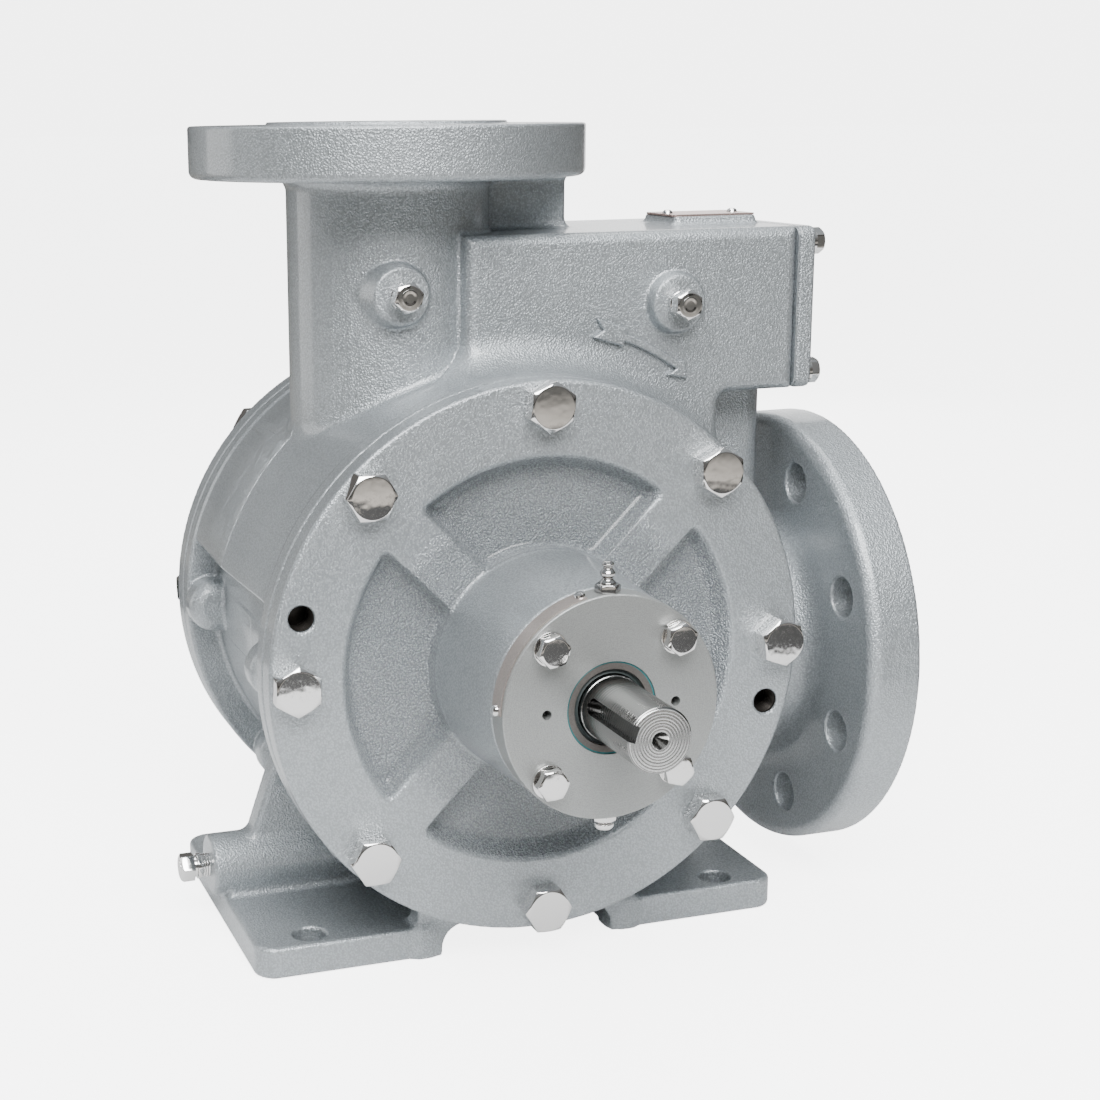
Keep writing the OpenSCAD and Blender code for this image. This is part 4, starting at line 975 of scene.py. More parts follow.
    def skin(self, mesher: Mesher) -> Skin:
        """The casting's skin with its mask "sand", which tells where the mould's grain shows."""
        form = self.form()
        skin = mesher.skin(form)
        LOG.info("case: %d quads before thinning", len(skin.faces))
        if 2 * len(skin.faces) > MOST_TRIANGLES:
            skin = thinned("case", skin, form, mesher)
        skin.vertices[:, 2] = np.maximum(skin.vertices[:, 2], 0.0)
        away = np.hypot(skin.vertices[:, 0], skin.vertices[:, 2] - SHAFT_Z)
        angle = np.degrees(np.arctan2(skin.vertices[:, 2] - SHAFT_Z, skin.vertices[:, 0]))
        ridge = smooth_step(angle, 8, 14) * smooth_step(-angle, -164, -160)
        shell = smooth_step(away, 118, 136) * smooth_step(-away, -self.volute - 5, -self.volute - 2)
        shell = shell * smooth_step(-np.abs(skin.vertices[:, 1]), -60, -36)
        skin.masks["sand"] = 0.10 + 0.12 * shell
        # This mask marks the mould's joint along the volute's ridge, for its wrinkles and flash. It also marks where
        # the enamel paints a highlight on the ridge, strongest on its rear half, where more light falls.
        skin.masks["parting"] = ridge * shell * (0.2 + 0.8 * smooth_step(skin.vertices[:, 1], -3, 2))
        return skin


def smooth_step(values: Array, low: float, high: float) -> Array:
    """Runs from 0 at low to 1 at high, level at both ends: three squares less two cubes of the share."""
    share = np.clip((values - low) / (high - low), 0, 1)
    return share * share * (3 - 2 * share)


def helix(radius: float, depth: float, pitch: float, low: float, high: float, inwards: bool = False) -> Skin:
    """A screw thread round the local z axis.

    The radius at an angle and a height is the crest's less a saw-tooth of the height's share of the pitch less
    the angle's share of a turn. Towards both ends the tooth runs out.

    Args:
        radius: Radius of the crests, or of the roots for a thread inside a hole.
        depth: Depth of the thread.
        pitch: Rise in one turn.
        low: Where it starts.
        high: Where it ends.
        inwards: Whether it lines a hole.

    Returns:
        The thread, closed by a plain wall on its other side.
    """
    rows, around = int((high - low) / pitch * 8) + 2, 48
    z = np.linspace(low, high, rows)[:, None]
    angle = np.linspace(0, 2 * math.pi, around, endpoint=False)[None]
    tooth = np.abs(2 * ((z / pitch - angle / (2 * math.pi)) % 1) - 1)
    fade = smooth_step(z, low, low + pitch) * smooth_step(-z, -high, -high + pitch)
    r = radius - depth * (1 - (1 - tooth) * fade) if not inwards else radius - depth * (1 - tooth) * fade
    shell = np.stack([r * np.cos(angle), r * np.sin(angle), z + 0 * angle], -1)
    wall = radius + 0.02 if inwards else 0.0
    back = np.stack([wall * np.cos(angle), wall * np.sin(angle), 0 * angle], -1)
    ends = [back + [0, 0, low], shell, back + [0, 0, high]]
    if inwards:
        ends.append(back + [0, 0, low])
    points = np.concatenate(ends)
    faces = grid_faces(len(points), around)
    return Skin(points.reshape(-1, 3), faces[:, ::-1] if inwards else faces)


def hex_bolt(
    flats: float, height: float, shank: float, reach: float, edge: float = 0.35, bevel: float = 0.94
) -> Skin:
    """A bolt: shank, hexagon's outline carried up its sides, a 30 degree turned bevel and the flat top.

    Args:
        flats: Width across the flats.
        height: Height of the head.
        shank: Radius of the shank.
        reach: Length of the shank below the head.
        edge: Radius of the head's edges.
        bevel: Radius of the flat top as a share of half the width across flats.

    Returns:
        The skin, with the head's underside at the local z = 0.
    """
    corners = np.array([[math.cos(a), math.sin(a)] for a in np.radians(np.arange(0, 360, 60))]) * flats / math.sqrt(3)
    outline = bend_corners(corners, 1.5 * edge, 3, closed=True)
    ends = np.roll(outline, -1, axis=0)
    share = np.linspace(0, 1, 8, endpoint=False)
    long_side = np.linalg.norm(ends - outline, axis=1) > flats / 8
    ring = np.vstack([
        a + (b - a) * (share if split else share[:1])[:, None] for a, b, split in zip(outline, ends, long_side)
    ])
    size = np.linalg.norm(ring, axis=1, keepdims=True)
    around = ring / size
    top = flats / 2 * bevel
    shoulder = height - np.maximum(size - top, 0) * math.tan(math.radians(30))
    flat = np.zeros_like(size)
    rows = [
        np.hstack([around * 0, flat - reach]), np.hstack([around * shank, flat - reach]),
        np.hstack([around * shank, flat]), np.hstack([ring, flat]), np.hstack([ring, shoulder]),
        np.hstack([around * top, flat + height]), np.hstack([around * 0, flat + height]),
    ]
    path = bend_corners(np.stack(rows, 1), edge, 3)
    points = path.transpose(1, 0, 2)
    return Skin(points.reshape(-1, 3), grid_faces(len(points), points.shape[1]))


def split_washer(inner: float, outer: float, height: float) -> Skin:
    """A spring lock washer: a square section carried round almost a full turn, rising a little along the way.

    Args:
        inner: Inner radius.
        outer: Outer radius.
        height: Height of the section and its rise.

    Returns:
        The skin, standing on the local z = 0.
    """
    gap, rise = 14.0, 0.25
    corners = np.array([[inner, 0], [outer, 0], [outer, height - rise], [inner, height - rise]], float)
    section = bend_corners(corners, 0.25, 3, closed=True)
    angle = np.radians(np.linspace(gap / 2, 360 - gap / 2, 60))[:, None]
    lift = rise * (angle - angle.min()) / np.ptp(angle)
    r, h = section[None, :, 0], section[None, :, 1] + lift
    body = np.stack([r * np.cos(angle), r * np.sin(angle), h], -1)
    middle = body.mean(1, keepdims=True).repeat(body.shape[1], 1)
    points = np.concatenate([middle[:1], body, middle[-1:]])
    return Skin(points.reshape(-1, 3), grid_faces(len(points), points.shape[1]))


def plated(name: str, skin: Skin, finish: bpy.types.Material, node: str, sharp: float = 28) -> None:
    """Makes a piece of plated steel that is fixed to the pump's body.

    Args:
        name: The piece's name.
        skin: Its surface.
        finish: Its material.
        node: The CAD node that it replaces.
        sharp: Degrees between faces from which an edge is kept sharp.
    """
    Piece(name, skin, sharp).dress(finish, "pump_body", [node])


@dataclass(frozen=True)
class Fasteners:
    """The pump's bolts and lock washers, in millimetres. Stations are distances from the middle plane."""

    head_face: float = 108.0
    head_flats: float = 23.0
    head_height: float = 10.5
    head_shank: float = 7.9
    head_reach: float = 38.0
    head_turns: tuple[float, ...] = (40.0, 29.0, 24.0, 1.0, 28.0, 2.0, 1.0, 58.0)
    cap_face: float = 191.5
    cap_circle: float = 46.0
    cap_flats: float = 14.3
    cap_height: float = 6.2
    cap_shank: float = 4.75
    cap_reach: float = 36.0
    cap_turns: tuple[float, ...] = (20.0, 12.0, 5.0, 44.0)
    washer: tuple[float, float, float] = (5.0, 8.4, 2.4)
    cover_flats: float = 12.7
    cover_height: float = 5.5
    cover_shank: float = 3.9
    cover_reach: float = 28.0
    cover_x: float = 179.8
    cover_places: tuple[float, float] = (49.0, 35.4)

    def ring(self, skin: Skin, circle: float, station: float, end: End, turns: Sequence[float], first: float) -> Skin:
        """Copies of a fastener, spread evenly over a bolt circle of one end.

        Args:
            skin: The fastener.
            circle: Radius of the bolt circle.
            station: Where the copies stand.
            end: The pump's end.
            turns: Degrees that each copy is turned about its own axis.
            first: Degrees round the shaft to the first one.

        Returns:
            All copies as one skin.
        """
        copies = []
        for i, turn in enumerate(turns):
            x, z = on_circle(circle, first + 360 / len(turns) * i)
            copies.append(placed(skin, (0, end.value, 0), (x, end.value * station, z), turn))
        return gathered(copies)

    def head_bolts(self, end: End) -> Skin:
        """The eight head bolts of one end, each turned as it was left by the spanner."""
        bolt = hex_bolt(self.head_flats, self.head_height, self.head_shank, self.head_reach)
        return self.ring(bolt, BOLT_CIRCLE, self.head_face, end, self.head_turns, 0)

    def cap_bolts(self, end: End) -> Skin:
        """The four cap bolts of one end."""
        bolt = hex_bolt(self.cap_flats, self.cap_height, self.cap_shank, self.cap_reach, 0.25, 0.9)
        return self.ring(bolt, self.cap_circle, self.cap_face + self.washer[2], end, self.cap_turns, 45)

    def cap_washers(self, end: End) -> Skin:
        """The four lock washers under the cap bolts of one end."""
        turns = [turn * 7 for turn in self.cap_turns]
        return self.ring(split_washer(*self.washer), self.cap_circle, self.cap_face, end, turns, 45)

    def cover_bolts(self) -> Skin:
        """The four bolts of the chest cover."""
        bolt = hex_bolt(self.cover_flats, self.cover_height, self.cover_shank, self.cover_reach, 0.25, 0.92)
        y, z = self.cover_places
        places = [(self.cover_x, sy * y, VALVE_Z + sz * z) for sy in (-1, 1) for sz in (-1, 1)]
        return gathered([placed(bolt, (1, 0, 0), at, 13 + 17 * i) for i, at in enumerate(places)])

    def build(self, finishes: "Finishes") -> None:
        """Makes the pieces.

        Args:
            finishes: The pump's finishes.
        """
        for end in End:
            side = end.name.lower()
            plated(f"{side}_head_bolt_set", self.head_bolts(end), finishes.nickel, f"{side}_head_bolts")
            plated(f"{side}_cap_bolt_set", self.cap_bolts(end), finishes.nickel, f"{side}_cap_bolts")
            plated(f"{side}_cap_lock_washers", self.cap_washers(end), finishes.nickel, f"{side}_cap_washers", 35)
        plated("cover_bolt_set", self.cover_bolts(), finishes.nickel, "cover_bolts")


@dataclass(frozen=True)
class Fittings:
    """Pipe plugs, grease fittings and relief fittings, in millimetres."""

    plug_flats: float = 14.3
    gauge_turns: tuple[float, float] = (14.0, 27.0)
    drain: tuple[float, float, float] = (-156.0, 0.0, 33.0)
    cap_r: float = 55.5
    rim_station: float = 184.25

    def plug(self, out: float) -> list[Skin]:
        """A plug's thread, its collar and its hexagon with a dished top, its wall at the local z = 0."""
        half = self.plug_flats / 2
        thread = helix(6.55, 0.55, 1.4, -8.0, out)
        collar = [(0, out - 1), (7.0, out - 1), (7.1, out + 1.2), (6.0, out + 1.6), (5.9, out + 3.2), (0, out + 3.2)]
        head = hex_bolt(self.plug_flats, 7.6, 5.0, 2.0, 0.3, 0.88)
        wide, middle, narrow = 0.62 * half, 0.5 * half, 0.34 * half
        dish = turned([(0, -1), (wide, -1), (wide, 0.15), (middle, 0.15), (narrow, 0.03), (0, 0.06)], 0.12)
        return [thread, turned(collar, 0.25), raised(head, out + 3), raised(dish, out + 10.6)]

    def grease(self) -> Skin:
        """A grease fitting: hexagon foot, waist and ball-shaped tip."""
        tip = turned([
            (0, 3.6), (4.2, 3.6), (4.0, 4.6), (2.9, 5.7), (2.5, 6.6), (3.6, 7.9), (3.8, 9.2), (2.9, 10.5),
            (2.2, 11.2), (2.2, 11.9), (3.0, 12.7), (3.1, 13.6), (1.9, 14.7), (0, 14.95),
        ], 0.25, 40)
        return gathered([hex_bolt(11.0, 4.0, 3.1, 7.0, 0.2, 0.9), tip])

    def relief(self) -> Skin:
        """A relief fitting: hexagon foot under a low round cap."""
        cap = turned([(0, 3.0), (3.5, 3.0), (3.5, 4.0), (4.9, 4.4), (4.9, 6.0), (3.9, 7.3), (0, 7.95)], 0.3, 40)
        return gathered([hex_bolt(10.8, 3.2, 3.1, 7.0, 0.2, 0.9), cap])

    def on_rims(self, skin: Skin, up: float) -> Skin:
        """A fitting on the rims of both caps, above or below the shaft."""
        at = SHAFT_Z + up * self.cap_r
        return gathered([placed(skin, (0, 0, up), (0, e.value * self.rim_station, at), 12) for e in End])

    def build(self, finishes: "Finishes") -> None:
        """Makes the pieces.

        Args:
            finishes: The pump's finishes.
        """
        gauges = [
            placed(part, (0, -1, 0), (x, -face, z), turn)
            for (x, z, _, face), turn in zip(CaseCasting.gauges, self.gauge_turns) for part in self.plug(1.2)
        ]
        plated("gauge_port_plugs", gathered(gauges), finishes.nickel, "gauge_plugs")
        drain = gathered([placed(part, (-1, 0, 0), self.drain, 5) for part in self.plug(6.0)])
        plated("drain_port_plug", drain, finishes.nickel, "drain_plug")
        ring = turned([(6.0, 5.9), (6.95, 6.0), (7.05, 6.5), (6.9, 6.9), (6.0, 7.0), (6.0, 5.9)], 0.2)
        sealant = Piece("drain_sealant", placed(ring, (-1, 0, 0), self.drain), 60)
        sealant.dress(finishes.sealant, "pump_body")
        plated("cap_grease_fittings", self.on_rims(self.grease(), 1.0), finishes.chrome, "grease_fittings")
        plated("cap_relief_fittings", self.on_rims(self.relief(), -1.0), finishes.nickel, "relief_fittings")


@dataclass(frozen=True)
class ShaftSeal:
    """The front cap's lip seal with its coloured rim, and the threads of the jack holes, in millimetres."""

    face: float = 190.9
    back: float = 182.9
    outer: float = 22.95
    lip: float = 16.65

    def build(self, finishes: "Finishes") -> None:
        """Makes the pieces.

        Args:
            finishes: The pump's finishes.
        """
        f, b, r = self.face, self.back, self.outer
        ring = [(18.6, b), (r - 0.4, b), (r - 0.4, f - 0.4), (r - 0.9, f - 0.1), (18.9, f - 0.3), (18.6, b)]
        lip = [(self.lip, b), (18.6, b), (18.6, f - 1.0), (17.7, f - 2.4), (self.lip + 0.1, f - 1.2), (self.lip, b)]
        rim = [(r - 0.5, b), (r, b), (r, f), (r - 0.35, f), (r - 1.0, f - 0.2), (r - 0.5, b)]
        for name, profile, edge, finish, replaced in (
            ("shaft_lip_seal", ring, 0.2, finishes.seal_face, ["lip_seal"]),
            ("shaft_seal_lip", lip, 0.2, finishes.rubber, []),
            ("seal_coloured_rim", rim, 0.15, finishes.teal, []),
        ):
            skin = placed(turned(profile, edge, 120), (0, -1, 0), (0, 0, SHAFT_Z))
            Piece(name, skin, 40).dress(finish, "pump_body", replaced)
        threads = Piece("jack_hole_threads", self.jack_threads(), 60)
        threads.dress(finishes.hole, "pump_body")

    def jack_threads(self) -> Skin:
        """The threads of both heads' jack holes, each with a dark disc at its floor as painted shadow where the hole
        ends on the case's flange.
        """
        thread = helix(6.58, 0.6, 1.6, 93.2, 106.6, True)
        # Painted shadow: a dark disc laid over the hole's floor.
        floor = turned([(0, 93.1), (6.5, 93.1), (6.5, 93.4), (0, 93.4)], 0.1)
        parts = []
        for angle in JACK_ANGLES:
            x, z = on_circle(BOLT_CIRCLE, angle)
            parts += [placed(part, (0, end.value, 0), (x, 0, z)) for end in End for part in (thread, floor)]
        return gathered(parts)


@dataclass(frozen=True)
class ReliefSpring:
    """The relief valve's spring, in millimetres. It lies along X; in the pump it shortens as the poppet lifts, but
    this piece is built at one length.
    """

    start: float = 30.2
    end: float = 164.2
    radius: float = 19.0
    wire: float = 5.5
    turns: float = 8.0
    lift: float = 10.0

    def skin(self) -> Skin:
        """The wire: a circle carried along a helix of even pitch. At both ends it shrinks to the wire's middle."""
        share = np.concatenate([[0.0], np.linspace(0, 1, 321), [1.0]])[:, None]
        size = np.full_like(share, self.wire / 2)
        size[[0, -1]] = 1e-4
        turn, round_wire = 2 * math.pi * self.turns * share, np.linspace(0, 2 * math.pi, 20, endpoint=False)
        x = self.start + self.wire / 2 + (self.end - self.start - self.wire) * share + size * np.sin(round_wire)
        away = self.radius + size * np.cos(round_wire)
        points = np.stack([x, away * np.cos(turn), VALVE_Z + away * np.sin(turn)], -1)
        return Skin(points.reshape(-1, 3), grid_faces(len(share), len(round_wire)))

    def build(self, finishes: "Finishes") -> None:
        """Makes the spring and gives it a mesh of its own.

        Args:
            finishes: The pump's finishes.
        """
        piece = Piece("relief_spring_wire", self.skin(), 60)
        piece.dress(finishes.wire, "pump_body", ["valve_spring"])
        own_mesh(piece.object)


@dataclass(frozen=True)
class Trim:
    """The rotation arrow on the chest and the chest's cover, in millimetres.

    The corners of the arrow's tail and tip are pairs of degrees round the shaft and radius.
    """

    face_y: float = -58.0
    height: float = 2.8
    radius: float = 172.0
    stem: float = 4.4
    tail: tuple[tuple[float, float], ...] = (
        (67.7, 173.9), (68.3, 177.0), (74.2, 176.6), (72.3, 171.6), (73.9, 166.3), (67.5, 166.9), (67.7, 169.6),
    )
    tip: tuple[tuple[float, float], ...] = ((56.1, 169.9), (57.0, 164.6), (53.1, 169.2), (55.5, 176.4), (56.7, 174.3))
    cover: tuple[float, float, float] = (168.3, 177.9, 58.0)
    cover_z: tuple[float, float] = (290.3, 378.3)

    def arrow(self) -> Form:
        """The raised arrow: its stem follows a circle round the shaft, from its notched tail to its barbed tip."""
        run = np.linspace(56.7, 67.7, 9)[1:-1]
        upper = [(a, self.radius + self.stem / 2) for a in run]
        lower = [(a, self.radius - self.stem / 2) for a in run[::-1]]
        points = np.array([*upper, *self.tail, *lower, *self.tip])
        a, r = np.radians(points[:, 0]), points[:, 1]
        outline = np.stack([r * np.cos(a), SHAFT_Z + r * np.sin(a)], 1)
        return prism(Axis.Y, outline, self.face_y - self.height, self.face_y + 2, 1.2)

    def build(self, finishes: "Finishes") -> None:
        """Makes the pieces.

        Args:
            finishes: The pump's finishes.
        """
        arrow = mesher_of(0.45).skin(self.arrow())
        arrow.masks["sand"] = np.full(len(arrow.vertices), 0.1)
        Piece("rotation_arrow", arrow).dress(finishes.enamel, "pump_body")
        x0, x1, w = self.cover
        z0, z1 = self.cover_z
        form = slab(Axis.X, (x0, -w, z0), (x1, w, z1), 6.0, 1.6)
        cover = mesher_of(1.4).skin(form)
        cover.masks["sand"] = np.full(len(cover.vertices), 0.25)
        Piece("chest_cover_casting", cover).dress(finishes.enamel, "pump_body", ["chest_cover"])


class Shader:
    """A node tree under construction, with short ways to add and link nodes."""

    def __init__(self, tree: bpy.types.NodeTree) -> None:
        """Starts on a tree.

        Args:
            tree: The tree to add to.
        """
        self.tree = tree

    def node(self, kind: str, **values: object) -> bpy.types.Node:
        """Adds a node and sets its properties or its inputs by name.

        Args:
            kind: The node's type.
            **values: Properties, or inputs where no property has that name. A socket as value is linked.

        Returns:
            The node.
        """
        node = self.tree.nodes.new(kind)
        for name, value in values.items():
            if hasattr(node, name) and not isinstance(value, bpy.types.NodeSocket):
                setattr(node, name, value)
            else:
                self.feed(node.inputs[name.replace("_", " ")], value)
        return node

    def feed(self, socket: bpy.types.NodeSocket, value: object) -> None:
        """Links a socket to the input, or sets a plain value."""
        if isinstance(value, bpy.types.NodeSocket):
            self.tree.links.new(value, socket)
        else:
            socket.default_value = value

    def math(self, operation: str, one: object, two: object = 0.0, three: object = 0.0) -> bpy.types.NodeSocket:
        """A Math node's result."""
        node = self.tree.nodes.new("ShaderNodeMath")
        node.operation = operation
        for socket, value in zip(node.inputs, (one, two, three)):
            self.feed(socket, value)
        return node.outputs[0]

    def blend(self, factor: object, one: object, two: object) -> bpy.types.NodeSocket:
        """A colour between two."""
        node = self.tree.nodes.new("ShaderNodeMix")
        node.data_type = "RGBA"
        for socket, value in zip((node.inputs[0], node.inputs[6], node.inputs[7]), (factor, one, two)):
            self.feed(socket, value)
        return node.outputs[2]

    def noise(self, place: object, scale: object, detail: float, **more: object) -> bpy.types.NodeSocket:
        """A Noise Texture node's value."""
        return self.node("ShaderNodeTexNoise", Vector=place, Scale=scale, Detail=detail, **more).outputs[0]

    def apart(self, place: object) -> bpy.types.NodeOutputs:
        """A place's three coordinates."""
        return self.node("ShaderNodeSeparateXYZ", Vector=place).outputs

    def away(self, one: object, two: object) -> bpy.types.NodeSocket:
        """Distance from an axis: the root of the sum of two coordinates' squares."""
        squares = [self.math("MULTIPLY", value, value) for value in (one, two)]
        return self.math("SQRT", self.math("ADD", *squares))

    def bump(self, height: object, strength: float, distance: float) -> bpy.types.NodeSocket:
        """A Bump node's normal."""
        return self.node("ShaderNodeBump", Height=height, Strength=strength, Distance=distance).outputs["Normal"]

    def span(
        self, value: object, low: float, high: float, first: float = 0.0, last: float = 1.0
    ) -> bpy.types.NodeSocket:
        """A Map Range node's clamped result."""
        node = self.tree.nodes.new("ShaderNodeMapRange")
        for socket, given in zip(node.inputs, (value, low, high, first, last)):
            self.feed(socket, given)
        return node.outputs[0]


def new_group(
    name: str, inputs: dict[str, tuple[str, object]], outputs: dict[str, str]
) -> tuple[Shader, bpy.types.Node, bpy.types.Node]:
    """A shader node group with its named sockets.

    Args:
        name: The group's name.
        inputs: Socket kind and default for each input's name.
        outputs: Socket kind for each output's name.

    Returns:
        The group's shader, and its input and output nodes.
    """
    tree = bpy.data.node_groups.new(name, "ShaderNodeTree")
    for label, (kind, value) in inputs.items():
        socket = tree.interface.new_socket(label, in_out="INPUT", socket_type=kind)
        if value is not None:
            socket.default_value = value
    for label, kind in outputs.items():
        tree.interface.new_socket(label, in_out="OUTPUT", socket_type=kind)
    shader = Shader(tree)
    return shader, tree.nodes.new("NodeGroupInput"), tree.nodes.new("NodeGroupOutput")


def grain_group() -> bpy.types.NodeTree:
    """Grain of a sand-cast, sprayed skin: round pebbles, fine grains between them, slow waves, and their shade."""
    number, vector = "NodeSocketFloat", "NodeSocketVector"
    shader, given, result = new_group(
        "cast_grain",
        {"Place": (vector, None), "Coarse": (number, 800.0), "Fine": (number, 2200.0), "Share": (number, 0.5)},
        {"Height": number, "Shade": number, "Waves": number},
    )
    coarse = shader.node("ShaderNodeTexVoronoi", Vector=given.outputs[0], Scale=given.outputs[1], Randomness=1.0)
    fine = shader.noise(given.outputs[0], given.outputs[2], 2.0)
    broad = shader.noise(given.outputs[0], 14.0, 2.0)
    lumps = shader.span(coarse.outputs["Distance"], 0.1, 0.7, 1.0, 0.0)
    rest = shader.math("MULTIPLY", fine, shader.math("SUBTRACT", 1.0, given.outputs[3]))
    height = shader.math("MULTIPLY_ADD", lumps, given.outputs[3], rest)
    shader.feed(result.inputs[0], height)
    # Shade: the grain's height, which the enamel uses as painted shade, darker in the hollows, mixed with broad
    # random blotches.
    shader.feed(result.inputs[1], shader.math("MULTIPLY_ADD", height, 0.7, shader.math("MULTIPLY", broad, 0.3)))
    shader.feed(result.inputs[2], shader.noise(given.outputs[0], 90.0, 3.0, Distortion=0.6))
    return shader.tree


def rings_group() -> bpy.types.NodeTree:
    """Marks that a lathe leaves: even rings about the place's z axis, uneven in depth, broken up by a fine noise."""
    number, vector = "NodeSocketFloat", "NodeSocketVector"
    shader, given, result = new_group(
        "turning_marks",
        {"Place": (vector, None), "Pitch": (number, 2500.0)},
        {"Height": number, "Shade": number},
    )
    x, y, z = shader.apart(given.outputs[0])
    along = shader.math("ADD", shader.away(x, y), shader.math("MULTIPLY", z, 0.7))
    uneven = shader.noise(shader.node("ShaderNodeCombineXYZ", X=along).outputs[0], given.outputs[1], 3.0)
    wave = shader.math("SINE", shader.math("MULTIPLY", along, shader.math("MULTIPLY", given.outputs[1], 3.0)))
    shader.feed(result.inputs[0], shader.math("ADD", shader.math("MULTIPLY", wave, 0.2), uneven))
    shader.feed(result.inputs[1], uneven)
    return shader.tree


@dataclass(frozen=True)
class Finish:
    """A finish of the pump's surfaces, and the values that every kind of finish has."""

    name: str
    colour: tuple[float, float, float]
    roughness: float
    metallic: float = 0.0
    coat: float = 0.0
    coat_roughness: float = 0.14

    def start(self) -> tuple[bpy.types.Material, Shader, bpy.types.Node, bpy.types.NodeSocket]:
        """A new material with its plain values set.

        Returns:
            The material, its shader, its Principled node and its Object coordinates.
        """
        material = bpy.data.materials.new(self.name)
        material.use_nodes = True
        shader = Shader(material.node_tree)
        principled = material.node_tree.nodes["Principled BSDF"]
        values = {
            "Base Color": (*self.colour, 1.0),
            "Roughness": self.roughness,
            "Metallic": self.metallic,
            "Coat Weight": self.coat,
            "Coat Roughness": self.coat_roughness,
        }
        for name, value in values.items():
            principled.inputs[name].default_value = value
        place = shader.node("ShaderNodeTexCoord").outputs["Object"]
        return material, shader, principled, place

    def tint(self, factor: float) -> tuple[float, float, float, float]:
        """The finish's colour made darker or lighter."""
        return (*[min(1.0, c * factor) for c in self.colour], 1.0)


@dataclass(frozen=True)
class CastEnamel(Finish):
    """Silver-grey enamel sprayed over cast iron: fine grain all over, rough where the mould's sand shows, with
    painted shade in the grain's hollows and a painted highlight along the volute's ridge.
    """

    masks: tuple[str, ...] = ("sand", "bare", "parting")
    grain: float = 0.3
    sand: float = 1.9
    coarse: float = 850.0
    fine: float = 2100.0
    share: float = 0.55
    iron: tuple[float, float, float, float] = (0.55, 0.55, 0.54, 1.0)

    def material(self) -> bpy.types.Material:
        """The finish as a material that reads the piece's masks "sand", "bare" and "parting"."""
        material, shader, principled, place = self.start()
        grain = shader.node("ShaderNodeGroup", node_tree=bpy.data.node_groups["cast_grain"])
        shader.feed(grain.inputs["Place"], place)
        for name, value in (("Coarse", self.coarse), ("Fine", self.fine), ("Share", self.share)):
            grain.inputs[name].default_value = value
        mask = {name: shader.node("ShaderNodeAttribute", attribute_name=name).outputs["Fac"] for name in self.masks}
        strength = shader.span(mask["sand"], 0.0, 1.0, self.grain, self.sand)
        height = shader.math("MULTIPLY", grain.outputs["Height"], strength)
        waves = shader.math("MULTIPLY", grain.outputs["Waves"], shader.span(mask["parting"], 0.0, 1.0, 0.25, 4.0))
        height = shader.math("ADD", shader.math("ADD", height, waves), self.flash(shader, place, mask["parting"]))
        shader.feed(principled.inputs["Normal"], shader.bump(height, 1.0, 0.0009))
        # Painted shade in the grain: the colour is darker in the grain's hollows and lighter on its bumps, and the
        # hollows go darkest where the sand mask is high, as in the heads' pockets. The broad blotches are random
        # tone.
        shade = shader.span(grain.outputs["Shade"], 0.3, 0.7)
        depth = shader.span(mask["sand"], 0.0, 1.0, 0.84, 0.62)
        dark = shader.blend(depth, (0.0, 0.0, 0.0, 1.0), self.tint(1.0))
        painted = shader.blend(shade, dark, self.tint(1.2))
        # Painted highlight: the volute's ridge is made lighter, most on its rear half.
        painted = shader.blend(shader.math("MULTIPLY", mask["parting"], 0.45), painted, self.tint(1.35))
        shader.feed(principled.inputs["Base Color"], shader.blend(mask["bare"], painted, self.iron))
        shader.feed(principled.inputs["Metallic"], shader.span(mask["bare"], 0.0, 1.0, self.metallic, 1.0))
        rough = shader.span(shade, 0.0, 1.0, self.roughness + 0.05, self.roughness - 0.05)
        shader.feed(principled.inputs["Roughness"], rough)
        return material

    def flash(self, shader: Shader, place: bpy.types.NodeSocket, mask: bpy.types.NodeSocket) -> bpy.types.NodeSocket:
        """The jagged line that the mould's joint left along the middle plane: a band round y = 0, bent by a noise.

        Args:
            shader: The material's shader.
            place: Object coordinates.
            mask: Where the line shows.

        Returns:
            Its height.
        """
        bend = shader.noise(place, 170.0, 4.0)
        across = shader.math("ADD", shader.apart(place)[1], -0.003)
        away = shader.math("ABSOLUTE", shader.math("MULTIPLY_ADD", bend, 0.006, across))
        return shader.math("MULTIPLY", shader.span(away, 0.0004, 0.0014, 1.0, 0.0), mask)


@dataclass(frozen=True)
class PlatedSteel(Finish):
    """Bright nickel on steel, with a faint ripple under the plating and light handling marks."""

    def material(self) -> bpy.types.Material:
        """The finish as a material."""
        material, shader, principled, place = self.start()
        shader.feed(principled.inputs["Normal"], shader.bump(shader.noise(place, 160.0, 1.0), 0.35, 0.0003))
        marks = shader.noise(place, 900.0, 4.0)
        rough = shader.span(marks, 0.45, 0.75, self.roughness, self.roughness + 0.12)
        shader.feed(principled.inputs["Roughness"], rough)
        return material


